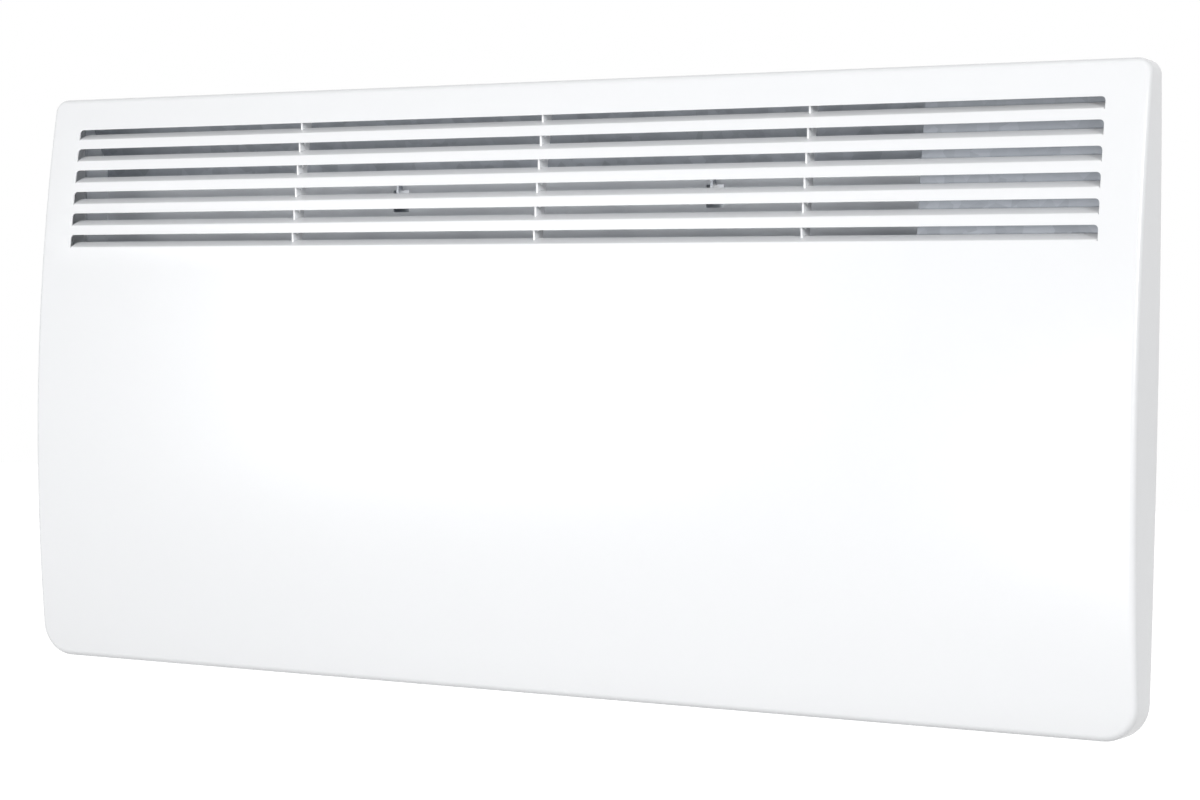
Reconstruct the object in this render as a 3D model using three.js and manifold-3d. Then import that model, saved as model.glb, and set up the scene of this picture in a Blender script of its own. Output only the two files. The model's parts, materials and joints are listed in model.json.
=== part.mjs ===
// Wall panel convector heater, in millimetres. +Z is up, the front faces -Y and the wall is the plane y = 0.
// The origin lies on the wall bracket's back face, level with the hooks that carry the heater.

import * as THREE from 'three';
import { mergeVertices } from 'three/addons/utils/BufferGeometryUtils.js';
import Module from 'manifold-3d';

const wasm = await Module();
wasm.setup();

// ---------------------------------------------------------------- driving dimensions

const gap = 0.3; // clearance between pieces that touch or pass through each other

// Front cover: a bowed steel pan whose front stands furthest out at mid height.
const panelWidth = 903;
const panelHeight = 440;
const edgeDepth = 26.8; // rim to front, at the top and bottom edges
const bow = 17; // how much further the front stands out at mid height
const coverSheet = 1;
const topCornerRadius = 10;
const bottomCornerRadius = 24;
const frontFillet = 8;
const rimStandoff = 36; // wall to the cover's rear rim

// Louvres: tabs lanced out of the front and folded inwards about the lower edge of their slots.
const slotCount = 6;
const slotPitch = 17;
const slotHeight = 9.6;
const slotMargin = 29; // from each side of the cover to the slots' ends
const firstSlotDrop = 23; // from the cover's top to the first slot's upper edge
const slotCornerRadius = 3;
const slotCutReach = 6; // how far the cut runs past the front's surface, each way
const bladeRise = 28; // degrees above the horizontal
const bladeEndGap = 0.5;
const foldInset = 0.4; // how far inside the front's surface the blades fold

// Comb stiffeners behind the louvres.
const combThickness = 1.5;
const combCount = 3;
const combSpineDepth = 6;
const toothSetback = 3.3; // front surface to the teeth's front edges
const combFootHeight = 10;
const combFootWidth = 9;
const combReach = 2; // how far the comb's spine runs past the first and last slots
const toothBase = 1.2; // level part under each tooth's front edge
const toothLip = 1.5; // how far a tooth's tip reaches past its slot's upper edge

// Rear casing: a steel tray with an outward flange that backs the cover's lip.
const casingSheet = 1.2;
const casingInset = 13; // from the cover's outline to the casing's wall
const casingBackStandoff = 12; // wall to the casing's back
const casingCornerRadius = 4;
const flangeInset = 4; // from the cover's outline to the flange's edge
const inletPitch = 52;
const inletLength = 40;
const inletWidth = 8;

// Hooks, bracket and spacers.
const hookDrop = 73; // from the cover's top to the seat of the hooks
const hookLeftX = -153;
const hookRightX = 114.5;
const hookThickness = 2;
const hornRise = 10; // upturned end of each hook above its seat
const hookNeck = 5; // metal under the seat
const hookSlotWidth = 14;
const hookSlotSpare = 1; // more than the horn needs to pass
const hornThickness = 5;
const bracketSheet = 1.5;
const bracketSide = 31; // bracket's outer edge beyond each hook
const bracketRail = 34;
const bracketTop = 18; // above the hooks' seat
const bracketHeight = 240;
const wallHoleRadius = 3;
const wallHoleSpread = 95;
const spacerRadius = 12;
const spacerStem = 3;
const spacerBarb = 1.6;
const spacerPlug = 4; // how far the spacer's plug stands inside the casing
const spacerToEnd = 101.5; // from the cover's side
const spacerRise = 40; // above the cover's lower edge
const bracketCorner = 5;
const windowCorner = 8;
const flangeEndGap = 6; // from the bracket's corners to the ends of its flanges
const lanceWidth = 12; // opening that each hook was bent out of
const hornChamfer = 3;

// Air path.
const chamberToEnd = 159.5; // from the control partition to the cover's right side
const deflectorSheet = 1;
const deflectorFoot = 12;
const deflectorDrop = 62; // from the cover's top to the deflector's lower edge
const deflectorReach = 21; // how far the deflector comes forward
const shieldSheet = 0.8;
const shieldStandoff = 7; // shield's front face to the casing's back plate
const shieldTop = 100; // above mid height
const shieldBottom = -182;
const shieldEndGap = 8; // from the element's ends to the shield's

// Heating element: an extruded aluminium body with four finned wings round a sheathed core.
const elementEndRoom = 84.65; // from each end of the element to the walls of its chamber
const elementZ = -150;
const elementY = -38;
const elementHub = 9;
const wingLength = 26;
const wingThickness = 2;
const wingAngle = 32; // degrees from the vertical
const wingRibs = 4;
const wingRibHeight = 2.6;
const ribTaper = 0.25; // each rib is so much of that height taller than the next one out
const ribFoot = 2;
const ribChamfer = 0.5;
const coreRadius = 4;
const coreOverhang = 32;
const pinRadius = 1.6;
const pinLength = 9;
const bushFlange = 9;
const bushNeck = 6.5;
const bushCollar = 3.5;
const elementBracketSheet = 1.5;
const elementBracketHeight = 38;
const elementBracketFoot = 16;
const bulbRadius = 3;
const bulbLength = 70;

// Control compartment.
const partitionSheet = 1;
const partitionSetback = 13; // front surface to the partition's front plate
const partitionFoot = 13;
const partitionToEnd = 6.5; // from the partition's front plate to the cover's right side
const grommetBore = 4;
const wellToEnd = 76.5; // from the well's middle to the cover's right side
const wellLength = 100;
const wellBreadth = 40;
const wellY = -34;
const wellWall = 2.5;
const wellDepth = 20; // cover's top to the well's floor
const wellBackDrop = 10; // how far the well's rear edge is below its front edge
const wellCorner = 4;
const wellInnerCorner = 2.5;
const knobShift = -25; // from the well's middle
const knobRadius = 15;
const knobHeight = 14.5;
const skirtHeight = 2.4;
const gripInset = 2.5; // from the skirt's edge to the knob's grip
const gripTaper = 0.8;
const fluteCount = 12;
const fluteRadius = 1.5;
const fluteSegments = 8;
const pointerWidth = 1.6;
const pointerRise = 0.7;
const spindleRadius = 3;
const spindleSeat = 8; // how deep the spindle stands in the thermostat
const thermostatWidth = 34;
const thermostatBreadth = 32;
const thermostatHeight = 28;
const threadRadius = 5;
const nutRadius = 8;
const nutHeight = 2.5;
const lensShift = -0.5; // from the well's middle
const lensRadius = 4;
const lensTail = 5; // length of the lamp under the well
const switchShift = 26; // from the well's middle
const switchLength = 28;
const switchBreadth = 20;
const switchHeight = 22;
const bezelRim = 2;
const bezelHeight = 2.2;
const switchWall = 1.6;
const pocketDepth = 6; // below the rocker's pivot
const pivotDrop = 3; // from the bezel's top to the rocker's pivot
const rockerTilt = 8; // degrees either side of level
const tabWidth = 6.3;
const tabThickness = 0.8;
const tabLength = 9;
const tabSpread = 7; // half the distance between a pair of tabs
const cutoutZ = -40;
const cutoutY = -34;
const cutoutRadius = 8;
const cutoutTail = 6; // behind the partition
const cutoutTabShift = 3.5;
const blockWidth = 48;
const blockHeight = 22;
const blockDepth = 17;
const blockShift = -6; // from the well's middle
const blockZ = -129;
const blockBase = 6;
const towerGap = 3; // between the terminal towers
const terminalRadius = 2.4;
const terminalDepth = 4;
const terminalSpread = 5; // from the block's middle to each row of terminals
const poles = 3;
const leadRadius = 1.5;
const capillaryRadius = 0.9;
const glandRadius = 9;
const glandThread = 7;
const glandBore = 3.6;
const glandReach = 11; // below the casing
const glandNutHeight = 4;
const glandShift = -5; // from the well's middle
const bulbToPartition = 16;
const clipSheet = 1.2;

// Screws.
const screwShank = 2;
const screwHead = 3.8;
const screwHeadHeight = 2.2;
const screwSegments = 8;
const recessSpan = 3.8;
const recessWidth = 0.8;
const coverScrewToEnd = 166.5; // from the cover's sides to its outer screws
const screwLength = 7;
const screwHoleSegments = 12;

// Fineness of curves.
const arcSteps = 2; // pairs of straight steps in a rounded corner
const sideSteps = 16; // straight stretches of the bowed front from top to bottom
const cornerSteps = 4;
const filletSteps = 5;
const combBackSteps = 6;
const partitionSteps = 14;
const leadSteps = 20;
const neutralSteps = 30;
const capillarySteps = 30;

// ---------------------------------------------------------------- dependent sizes

const centreZ = hookDrop - panelHeight / 2; // cover's mid height, from the hooks' seat
const halfWidth = panelWidth / 2;
const halfHeight = panelHeight / 2;
const rimY = -rimStandoff;
const casingBackY = -casingBackStandoff;
const casingFloorY = casingBackY - casingSheet; // front face of the casing's back plate
const casingMouthY = rimY + gap;
const casingWallX = halfWidth - casingInset;
const casingWallZ = halfHeight - casingInset;
const innerWallX = casingWallX - casingSheet;
const innerWallZ = casingWallZ - casingSheet;
const hookZ = halfHeight - hookDrop;
const slotLength = panelWidth - 2 * slotMargin;
const screwInset = (flangeInset + casingInset) / 2;
const coverScrewX = halfWidth - coverScrewToEnd;
const spacerX = halfWidth - spacerToEnd;
const chamberRight = halfWidth - chamberToEnd; // left face of the control partition
const partitionRight = halfWidth - partitionToEnd;
const wellX = halfWidth - wellToEnd;
const knobX = wellX + knobShift;
const lensX = wellX + lensShift;
const switchX = wellX + switchShift;
const blockX = wellX + blockShift;
const glandX = wellX + glandShift;
const elementCentreX = (chamberRight - innerWallX) / 2;
const elementLength = chamberRight + innerWallX - 2 * elementEndRoom;
const wellTop = halfHeight;
const wellFloorTop = wellTop - wellDepth;
const wellFloorUnder = wellFloorTop - wellWall;
const rad = THREE.MathUtils.degToRad;

// Height of the cover's outer surface over the wall plane, at a height z from mid height.
const frontAt = (z) => rimY - edgeDepth - bow * (1 - (z / halfHeight) ** 2);
const slotTop = (i) => halfHeight - firstSlotDrop - i * slotPitch;
const slotBottom = (i) => slotTop(i) - slotHeight;

// ---------------------------------------------------------------- finishes

const finish = (color, roughness, metalness) => new THREE.MeshStandardMaterial({ color, roughness, metalness });
const whiteEnamel = finish(0xf6f7f9, 0.28, 0);
const zincSteel = finish(0xa9adb2, 0.4, 0.9);
const galvanisedSteel = finish(0x7f8389, 0.6, 0.8);
const brightAluminium = finish(0xc9cccf, 0.32, 1);
const sheathSteel = finish(0x77736d, 0.45, 0.9);
const steatite = finish(0xe9e4d8, 0.6, 0);
const whitePlastic = finish(0xe8eaec, 0.45, 0);
const greyPlastic = finish(0x5d6268, 0.5, 0);
const blackPlastic = finish(0x1d1f21, 0.45, 0);
const redLens = finish(0xc8281e, 0.15, 0);
const brass = finish(0xb8923f, 0.35, 1);
const copper = finish(0xb06a3c, 0.35, 1);
const leadSleeve = finish(0xb9b2a2, 0.7, 0);

// ---------------------------------------------------------------- solid helpers

// A closed geometry as a solid: corners are merged, and triangles that a pole leaves without area are dropped.
function toSolid(geometry) {
  geometry.deleteAttribute('normal');
  geometry.deleteAttribute('uv');
  const merged = mergeVertices(geometry, 1e-4);
  const corners = merged.index.array;
  const kept = [];
  for (let i = 0; i < corners.length; i += 3) {
    const [a, b, c] = [corners[i], corners[i + 1], corners[i + 2]];
    if (a !== b && b !== c && c !== a) kept.push(a, b, c);
  }
  const vertProperties = new Float32Array(merged.attributes.position.array);
  return new wasm.Manifold(new wasm.Mesh({ numProp: 3, vertProperties, triVerts: new Uint32Array(kept) }));
}

function toGeometry(solid) {
  const mesh = solid.getMesh();
  const geometry = new THREE.BufferGeometry();
  geometry.setAttribute('position', new THREE.BufferAttribute(mesh.vertProperties, 3));
  geometry.setIndex(new THREE.BufferAttribute(mesh.triVerts, 1));
  return geometry;
}

const joined = (solids) => solids.reduce((whole, solid) => whole.add(solid));
const cutBy = (solid, cutters) => cutters.reduce((rest, cutter) => rest.subtract(cutter), solid);

const axisX = new THREE.Vector3(1, 0, 0);
const axisY = new THREE.Vector3(0, 1, 0);
const axisZ = new THREE.Vector3(0, 0, 1);

// An outline swept from one coordinate to another along an axis.
function extrude(shape, depth) {
  return new THREE.ExtrudeGeometry(shape, { depth, bevelEnabled: false, curveSegments: arcSteps });
}

function alongX(shape, from, to) {
  const turn = new THREE.Matrix4().makeBasis(axisY, axisZ, axisX);
  return toSolid(extrude(shape, to - from).applyMatrix4(turn).translate(from, 0, 0));
}

function alongY(shape, from, to) {
  const turn = new THREE.Matrix4().makeBasis(axisX, axisZ, axisY.clone().negate());
  return toSolid(extrude(shape, to - from).applyMatrix4(turn).translate(0, to, 0));
}

function alongZ(shape, from, to) {
  return toSolid(extrude(shape, to - from).translate(0, 0, from));
}

function box(x0, x1, y0, y1, z0, z1) {
  const geometry = new THREE.BoxGeometry(x1 - x0, y1 - y0, z1 - z0);
  return toSolid(geometry.translate((x0 + x1) / 2, (y0 + y1) / 2, (z0 + z1) / 2));
}

// A profile of [radius, height] pairs turned about an axis, which it starts and ends on or closes round.
function turned(profile, axis, x, y, z, segments) {
  const points = profile.map(([radius, height]) => new THREE.Vector2(radius, height));
  const geometry = new THREE.LatheGeometry(points, segments);
  if (axis === axisX) geometry.rotateZ(-Math.PI / 2);
  if (axis === axisZ) geometry.rotateX(Math.PI / 2);
  return toSolid(geometry.translate(x, y, z));
}

function rod(radius, from, to, axis, x, y, z, segments = 20) {
  const profile = [[0, from], [radius, from], [radius, to], [0, to]];
  return turned(profile, axis, x, y, z, segments);
}

const polygon = (points) => new THREE.Shape(points.map(([a, b]) => new THREE.Vector2(a, b)));

function roundedRectangle(width, height, radius, x = 0, y = 0) {
  const [left, right] = [x - width / 2, x + width / 2];
  const [low, high] = [y - height / 2, y + height / 2];
  const shape = new THREE.Shape();
  shape.absarc(right - radius, low + radius, radius, -Math.PI / 2, 0);
  shape.absarc(right - radius, high - radius, radius, 0, Math.PI / 2);
  shape.absarc(left + radius, high - radius, radius, Math.PI / 2, Math.PI);
  shape.absarc(left + radius, low + radius, radius, Math.PI, 1.5 * Math.PI);
  return shape;
}

// The outline of a bent strip of sheet that follows a line, with its thickness on the line's left.
function stripOutline(line, thickness) {
  const offset = line.map((point, i) => {
    const before = line[Math.max(i - 1, 0)];
    const after = line[Math.min(i + 1, line.length - 1)];
    const unit = (from, to) => new THREE.Vector2(to[0] - from[0], to[1] - from[1]).normalize();
    const first = i > 0 ? unit(before, point) : unit(point, after);
    const second = i < line.length - 1 ? unit(point, after) : first;
    const normal = new THREE.Vector2(-first.y - second.y, first.x + second.x).normalize();
    const reach = thickness / (normal.x * -first.y + normal.y * first.x);
    return [point[0] + normal.x * reach, point[1] + normal.y * reach];
  });
  return polygon([...line, ...offset.reverse()]);
}

// ---------------------------------------------------------------- front cover

// Right half of the cover's outline drawn in by an inset, from the top down, with its side in that many steps.
function rightOutline(inset, steps) {
  const points = [];
  const topRadius = Math.max(topCornerRadius - inset, casingCornerRadius / 2);
  const bottomRadius = Math.max(bottomCornerRadius - inset, casingCornerRadius);
  const x = halfWidth - inset;
  const [high, low] = [halfHeight - inset - topRadius, -halfHeight + inset + bottomRadius];
  for (let i = 0; i <= cornerSteps; i += 1) {
    const angle = (Math.PI / 2) * (1 - i / cornerSteps);
    points.push([x - topRadius + topRadius * Math.cos(angle), high + topRadius * Math.sin(angle)]);
  }
  for (let i = 1; i < steps; i += 1) {
    points.push([x, high + ((low - high) * i) / steps]);
  }
  for (let i = 0; i <= cornerSteps; i += 1) {
    const angle = (-Math.PI / 2) * (i / cornerSteps);
    points.push([x - bottomRadius + bottomRadius * Math.cos(angle), low + bottomRadius * Math.sin(angle)]);
  }
  return points;
}

// Solid form inside the cover's outer surface by `skin`, from a rear plane to the bowed and filleted front.
function coverForm(skin, rearY) {
  const radius = frontFillet - skin;
  const rings = [rightOutline(skin, sideSteps).map(([x, z]) => [x, rearY, z])];
  for (let i = 0; i <= filletSteps; i += 1) {
    const angle = (Math.PI / 2) * (i / filletSteps);
    const inset = skin + radius * (1 - Math.cos(angle));
    const sunk = skin + radius * (1 - Math.sin(angle));
    rings.push(rightOutline(inset, sideSteps).map(([x, z]) => [x, frontAt(z) + sunk, z]));
  }
  return loft(rings);
}

// Closed skin over half rings and their mirror images, with the first and last rings filled in.
function loft(rings) {
  const half = rings[0].length;
  const loops = rings.map((ring) => [...ring, ...ring.map(([x, y, z]) => [-x, y, z]).reverse()]);
  const positions = loops.flat(2);
  const corners = [];
  const at = (ring, i) => ring * 2 * half + (i % (2 * half));
  for (let ring = 0; ring < rings.length - 1; ring += 1) {
    for (let i = 0; i < 2 * half; i += 1) {
      const [a, b, c, d] = [at(ring, i), at(ring, i + 1), at(ring + 1, i + 1), at(ring + 1, i)];
      corners.push(a, d, c, a, c, b);
    }
  }
  const last = rings.length - 1;
  for (let i = 0; i < half - 1; i += 1) {
    const [right, below] = [i, i + 1];
    const [left, leftBelow] = [2 * half - 1 - i, 2 * half - 2 - i];
    corners.push(at(last, left), at(last, leftBelow), at(last, below));
    corners.push(at(last, left), at(last, below), at(last, right));
    corners.push(at(0, left), at(0, below), at(0, leftBelow));
    corners.push(at(0, left), at(0, right), at(0, below));
  }
  const geometry = new THREE.BufferGeometry();
  geometry.setAttribute('position', new THREE.Float32BufferAttribute(positions, 3));
  geometry.setIndex(corners);
  return toSolid(geometry);
}

// Plain outline of the cover drawn in by an inset, as a shape in X and Z.
function coverOutline(inset) {
  const right = rightOutline(inset, 1);
  return polygon([...right, ...right.map(([x, z]) => [-x, z]).reverse()].reverse());
}

// Slot or blade outline: square corners at the root, which may reach past the fold line, and round ones beyond.
function louvreOutline(length, height, root = 0) {
  const half = length / 2;
  const shape = new THREE.Shape();
  shape.moveTo(-half, -root);
  shape.lineTo(half, -root);
  shape.absarc(half - slotCornerRadius, height - slotCornerRadius, slotCornerRadius, 0, Math.PI / 2);
  shape.absarc(-half + slotCornerRadius, height - slotCornerRadius, slotCornerRadius, Math.PI / 2, Math.PI);
  return shape;
}

function louvreBlade(i) {
  const outline = louvreOutline(slotLength - 2 * bladeEndGap, slotHeight, foldInset);
  const geometry = extrude(outline, coverSheet);
  geometry.rotateX(Math.PI / 2).translate(0, coverSheet, 0);
  geometry.rotateX(rad(bladeRise) - Math.PI / 2);
  geometry.translate(0, frontAt(slotBottom(i)) + foldInset, slotBottom(i));
  return toSolid(geometry);
}

// Room that the control well takes out of the cover and the casing.
const wellNotch = (frontY, backY) => box(
  wellX - wellLength / 2 - gap, wellX + wellLength / 2 + gap,
  frontY, backY, wellFloorUnder - gap, wellTop + 1,
);

const coverScrewSpots = [
  ...[-1, 0, 1].map((side) => [side * coverScrewX, halfHeight - screwInset]),
  ...[-1, 0, 1].map((side) => [side * coverScrewX, screwInset - halfHeight]),
  ...[-1, 1].map((side) => [side * (halfWidth - screwInset), 0]),
];

function inletCentres() {
  const span = chamberRight + innerWallX - inletLength;
  const count = Math.floor(span / inletPitch);
  return Array.from({ length: count }, (_, i) => elementCentreX + (i - (count - 1) / 2) * inletPitch);
}

function frontPanel() {
  const pan = cutBy(coverForm(0, rimY), [
    coverForm(coverSheet, rimY - coverSheet),
    alongY(coverOutline(casingInset - gap), rimY - 2 * coverSheet, rimY + 1),
    wellNotch(wellY - wellBreadth / 2 - gap, rimY + 1),
  ]);
  const slots = [];
  const blades = [];
  for (let i = 0; i < slotCount; i += 1) {
    const front = frontAt(slotTop(i) - slotHeight / 2);
    const slot = alongY(louvreOutline(slotLength, slotHeight), front - slotCutReach, front + slotCutReach);
    slots.push(slot.translate(0, 0, slotBottom(i)));
    blades.push(louvreBlade(i));
  }
  const inletY = rimY - coverSheet - (edgeDepth - frontFillet) / 2;
  const inlets = inletCentres().map((x) => alongZ(
    roundedRectangle(inletLength, inletWidth, inletWidth / 2 - 0.01, x, inletY),
    -halfHeight - 1, -halfHeight + 2 * coverSheet,
  ));
  const screwHoles = coverScrewSpots.map(([x, z]) => rod(
    screwShank + gap, rimY - 2 * coverSheet, rimY + 1, axisY, x, 0, z, screwHoleSegments,
  ));
  return joined([cutBy(pan, [...slots, ...inlets, ...screwHoles]), ...blades]);
}

// A comb stands behind the louvres: its teeth rest on the blades and its two feet meet the front sheet.
function louvreComb(x) {
  const tipDepth = foldInset + slotHeight * Math.cos(rad(bladeRise)) + coverSheet * Math.sin(rad(bladeRise));
  const spineFront = (z) => frontAt(z) + tipDepth + gap;
  const spineBack = (z) => spineFront(z) + combSpineDepth;
  const sheetBack = (z) => frontAt(z) + coverSheet + gap;
  const slope = Math.tan(rad(bladeRise));
  const lift = gap / Math.cos(rad(bladeRise));
  const [low, high] = [slotBottom(slotCount - 1) - gap, slotTop(0) + combReach];
  const lowEnd = low - combReach;
  const footLow = lowEnd - combFootHeight;
  const footHigh = high + combFootHeight;
  const front = [[sheetBack(footLow), footLow], [sheetBack(lowEnd), lowEnd], [spineFront(low), low]];
  for (let i = slotCount - 1; i >= 0; i -= 1) {
    const root = slotBottom(i);
    const fold = frontAt(root) + foldInset;
    const bladeTop = (y) => root + (y - fold) * slope + lift;
    const tip = spineFront(root + slotHeight / 2);
    const toothFoot = fold + toothSetback + toothBase;
    front.push([tip, bladeTop(tip)]);
    front.push([toothFoot, bladeTop(toothFoot)]);
    front.push([frontAt(slotTop(i)) + toothSetback, slotTop(i) + toothLip]);
    front.push([spineFront(slotTop(i)), slotTop(i) - toothLip]);
  }
  front.push([spineFront(high), high], [sheetBack(high), high], [sheetBack(footHigh), footHigh]);
  const back = [];
  for (let i = 0; i <= combBackSteps; i += 1) {
    const z = footHigh + ((footLow - footHigh) * i) / combBackSteps;
    back.push([spineBack(z), z]);
  }
  const plate = alongX(polygon([...front, ...back]), x - combThickness / 2, x + combThickness / 2);
  const feet = [[footLow, lowEnd], [high, footHigh]].map(([from, to]) => {
    const line = [[sheetBack(from), from], [sheetBack(to), to]];
    return alongX(stripOutline(line, -combThickness), x - combThickness / 2, x + combFootWidth);
  });
  return joined([plate, ...feet]);
}

// ---------------------------------------------------------------- rear casing

function rearCasing() {
  const shell = joined([
    alongY(coverOutline(casingInset), casingMouthY, casingBackY),
    alongY(coverOutline(flangeInset), casingMouthY, casingMouthY + casingSheet),
  ]);
  const cavity = alongY(coverOutline(casingInset + casingSheet), casingMouthY - 1, casingFloorY);
  const slotHigh = hookZ + gap;
  const slotLow = hookZ - hookNeck - hornRise - hookSlotSpare - gap;
  const hookSlots = [hookLeftX, hookRightX].map((x) => box(
    x - hookSlotWidth / 2, x + hookSlotWidth / 2, casingFloorY - 1, casingBackY + 1, slotLow, slotHigh,
  ));
  const inletY = (casingFloorY + casingMouthY + casingSheet) / 2;
  const inlets = inletCentres().map((x) => alongZ(
    roundedRectangle(inletLength, inletWidth, inletWidth / 2 - 0.01, x, inletY),
    -casingWallZ - 1, -innerWallZ + 1,
  ));
  const holeY = (radius, [x, z], from, to) => rod(radius + gap, from, to, axisY, x, 0, z, screwHoleSegments);
  const holes = [
    ...coverScrewSpots.map((spot) => holeY(screwShank, spot, casingMouthY - 1, casingMouthY + 2 * casingSheet)),
    ...bracketScrewSpots.map((spot) => holeY(screwShank, spot, casingFloorY - 1, casingBackY + 1)),
    ...spacerSpots.map((spot) => holeY(spacerStem, spot, casingFloorY - 1, casingBackY + 1)),
    rod(glandThread + gap, -casingWallZ - 1, -innerWallZ + 1, axisZ, glandX, glandY, 0),
  ];
  const notch = wellNotch(casingMouthY - 1, casingFloorY - gap);
  return cutBy(shell, [cavity, ...hookSlots, ...inlets, ...holes, notch]);
}

// ---------------------------------------------------------------- wall side

function wallBracket() {
  const [left, right] = [hookLeftX - bracketSide, hookRightX + bracketSide];
  const bottom = bracketTop - bracketHeight;
  const middle = (left + right) / 2;
  const frame = alongY(
    roundedRectangle(right - left, bracketHeight, bracketCorner, middle, bracketTop - bracketHeight / 2),
    -bracketSheet, 0,
  );
  const window = alongY(
    roundedRectangle(right - left - 2 * bracketRail, bracketHeight - 2 * bracketRail, windowCorner,
      middle, bracketTop - bracketHeight / 2),
    -bracketSheet - 1, 1,
  );
  const reach = -casingBackStandoff + gap;
  const flanges = [[left, left + bracketSheet], [right - bracketSheet, right]].map(([from, to]) => box(
    from, to, reach, -bracketSheet / 2, bottom + flangeEndGap, bracketTop - flangeEndGap,
  ));
  const wallHoles = [];
  for (const side of [-1, 1]) {
    for (const z of [bracketTop - bracketRail / 2, bottom + bracketRail / 2]) {
      wallHoles.push(alongY(
        roundedRectangle(4 * wallHoleRadius, 2 * wallHoleRadius, wallHoleRadius - 0.01,
          middle + side * wallHoleSpread, z),
        -bracketSheet - 1, 1,
      ));
    }
  }
  const hooks = [hookLeftX, hookRightX].map(hangingHook);
  const lances = [hookLeftX, hookRightX].map((x) => box(
    x + hookThickness / 2, x + hookThickness / 2 + lanceWidth, -bracketSheet - 1, 1, -hookNeck, hornRise,
  ));
  return joined([cutBy(frame, [window, ...wallHoles, ...lances]), ...flanges, ...hooks]);
}

// A tab bent out of the bracket, with a notch that the casing's back plate drops into.
function hangingHook(x) {
  const [shoulder, horn] = [casingBackY + gap, casingFloorY - gap];
  const outline = polygon([
    [-bracketSheet / 2, -hookNeck - hornChamfer],
    [-bracketSheet / 2, hornRise],
    [shoulder, hornRise / 2],
    [shoulder, 0],
    [horn, 0],
    [horn, hornRise - 1],
    [horn - 1, hornRise],
    [horn - hornThickness + 2, hornRise],
    [horn - hornThickness, hornRise - hornChamfer],
    [horn - hornThickness, 1 - hookNeck],
    [horn - hornThickness + 1, -hookNeck],
    [shoulder, -hookNeck],
  ].reverse());
  return alongX(outline, x - hookThickness / 2, x + hookThickness / 2);
}

const spacerSpots = [-1, 1].map((side) => [side * spacerX, spacerRise - halfHeight]);

// A plastic foot that snaps through the casing and keeps the heater's lower edge off the wall.
function wallSpacer([x, z]) {
  const outer = casingBackY + gap;
  const inner = casingFloorY - gap;
  const profile = [
    [0, -gap], [spacerRadius - 2, -gap], [spacerRadius, -2], [spacerRadius - 1, outer],
    [spacerStem, outer], [spacerStem, inner], [spacerStem + spacerBarb, inner],
    [spacerStem - 1, inner - spacerPlug], [0, inner - spacerPlug],
  ];
  return turned(profile.reverse(), axisY, x, 0, z, 20);
}

// ---------------------------------------------------------------- air path

function airDeflector() {
  const low = halfHeight - deflectorDrop;
  const y = casingFloorY - gap;
  const line = [
    [y, low],
    [y, low + deflectorFoot],
    [y - deflectorReach, innerWallZ - gap - deflectorSheet],
  ];
  return alongX(stripOutline(line, deflectorSheet), gap - innerWallX, chamberRight - gap);
}

function heatShield() {
  const [backY, frontY] = [casingFloorY - gap, casingFloorY - shieldStandoff];
  const line = [[backY, shieldBottom], [frontY, shieldBottom], [frontY, shieldTop], [backY, shieldTop]];
  const half = elementLength / 2 - shieldEndGap;
  return alongX(stripOutline(line, -shieldSheet), elementCentreX - half, elementCentreX + half);
}

// ---------------------------------------------------------------- heating element

const elementEnd = (side) => elementCentreX + (side * elementLength) / 2;

function elementWing(quadrant) {
  const ribs = [];
  for (let i = 0; i < wingRibs; i += 1) {
    const reach = elementHub + ((wingLength - elementHub) * (i + 1)) / wingRibs;
    ribs.push([reach, wingRibHeight * (1 + ribTaper * (wingRibs - i))]);
  }
  const half = wingThickness / 2;
  const side = [];
  for (const [reach, height] of ribs) {
    side.push([half, reach - ribFoot], [height, reach - ribFoot + ribChamfer]);
    side.push([height, reach - ribChamfer], [half, reach]);
  }
  const outline = [[half, 0], ...side, ...side.map(([a, b]) => [-a, b]).reverse(), [-half, 0]];
  const lean = quadrant % 2 === 0 ? wingAngle : 90 - wingAngle;
  const angle = rad(quadrant * 90 + lean);
  const [cos, sin] = [Math.cos(angle), Math.sin(angle)];
  const placed = outline.map(([a, b]) => [elementY + a * cos - b * sin, elementZ + a * sin + b * cos]);
  return alongX(polygon(placed), elementEnd(-1), elementEnd(1));
}

function heatingElement() {
  const hub = rod(elementHub, elementEnd(-1), elementEnd(1), axisX, 0, elementY, elementZ, 24);
  const bore = rod(coreRadius + gap, elementEnd(-1) - 1, elementEnd(1) + 1, axisX, 0, elementY, elementZ, 16);
  return joined([hub, ...[0, 1, 2, 3].map(elementWing)]).subtract(bore);
}

function elementCore() {
  const reach = elementLength / 2 + coreOverhang;
  const profile = [
    [0, -reach - pinLength], [pinRadius, -reach - pinLength], [pinRadius, -reach], [coreRadius, -reach],
    [coreRadius, reach], [pinRadius, reach], [pinRadius, reach + pinLength], [0, reach + pinLength],
  ];
  return turned(profile, axisX, elementCentreX, elementY, elementZ, 16);
}

const pinEnd = (side) => elementCentreX + side * (elementLength / 2 + coreOverhang + pinLength);

// Outer end of the bush's inner collar, where the bracket plate stands.
const bracketPlate = (side) => elementEnd(side) + side * (bushCollar + 2 * gap);

function elementBush(side) {
  const start = gap;
  const neck = start + bushCollar;
  const outer = neck + elementBracketSheet + 2 * gap;
  const profile = [
    [coreRadius + gap, start], [bushFlange, start], [bushFlange, neck], [bushNeck, neck],
    [bushNeck, outer], [bushFlange - 1, outer], [bushFlange - 1, outer + bushCollar],
    [coreRadius + gap, outer + bushCollar], [coreRadius + gap, start],
  ];
  const placed = profile.map(([radius, reach]) => [radius, side * reach]);
  return turned(side > 0 ? placed : placed.reverse(), axisX, elementEnd(side), elementY, elementZ, 20);
}

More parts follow.
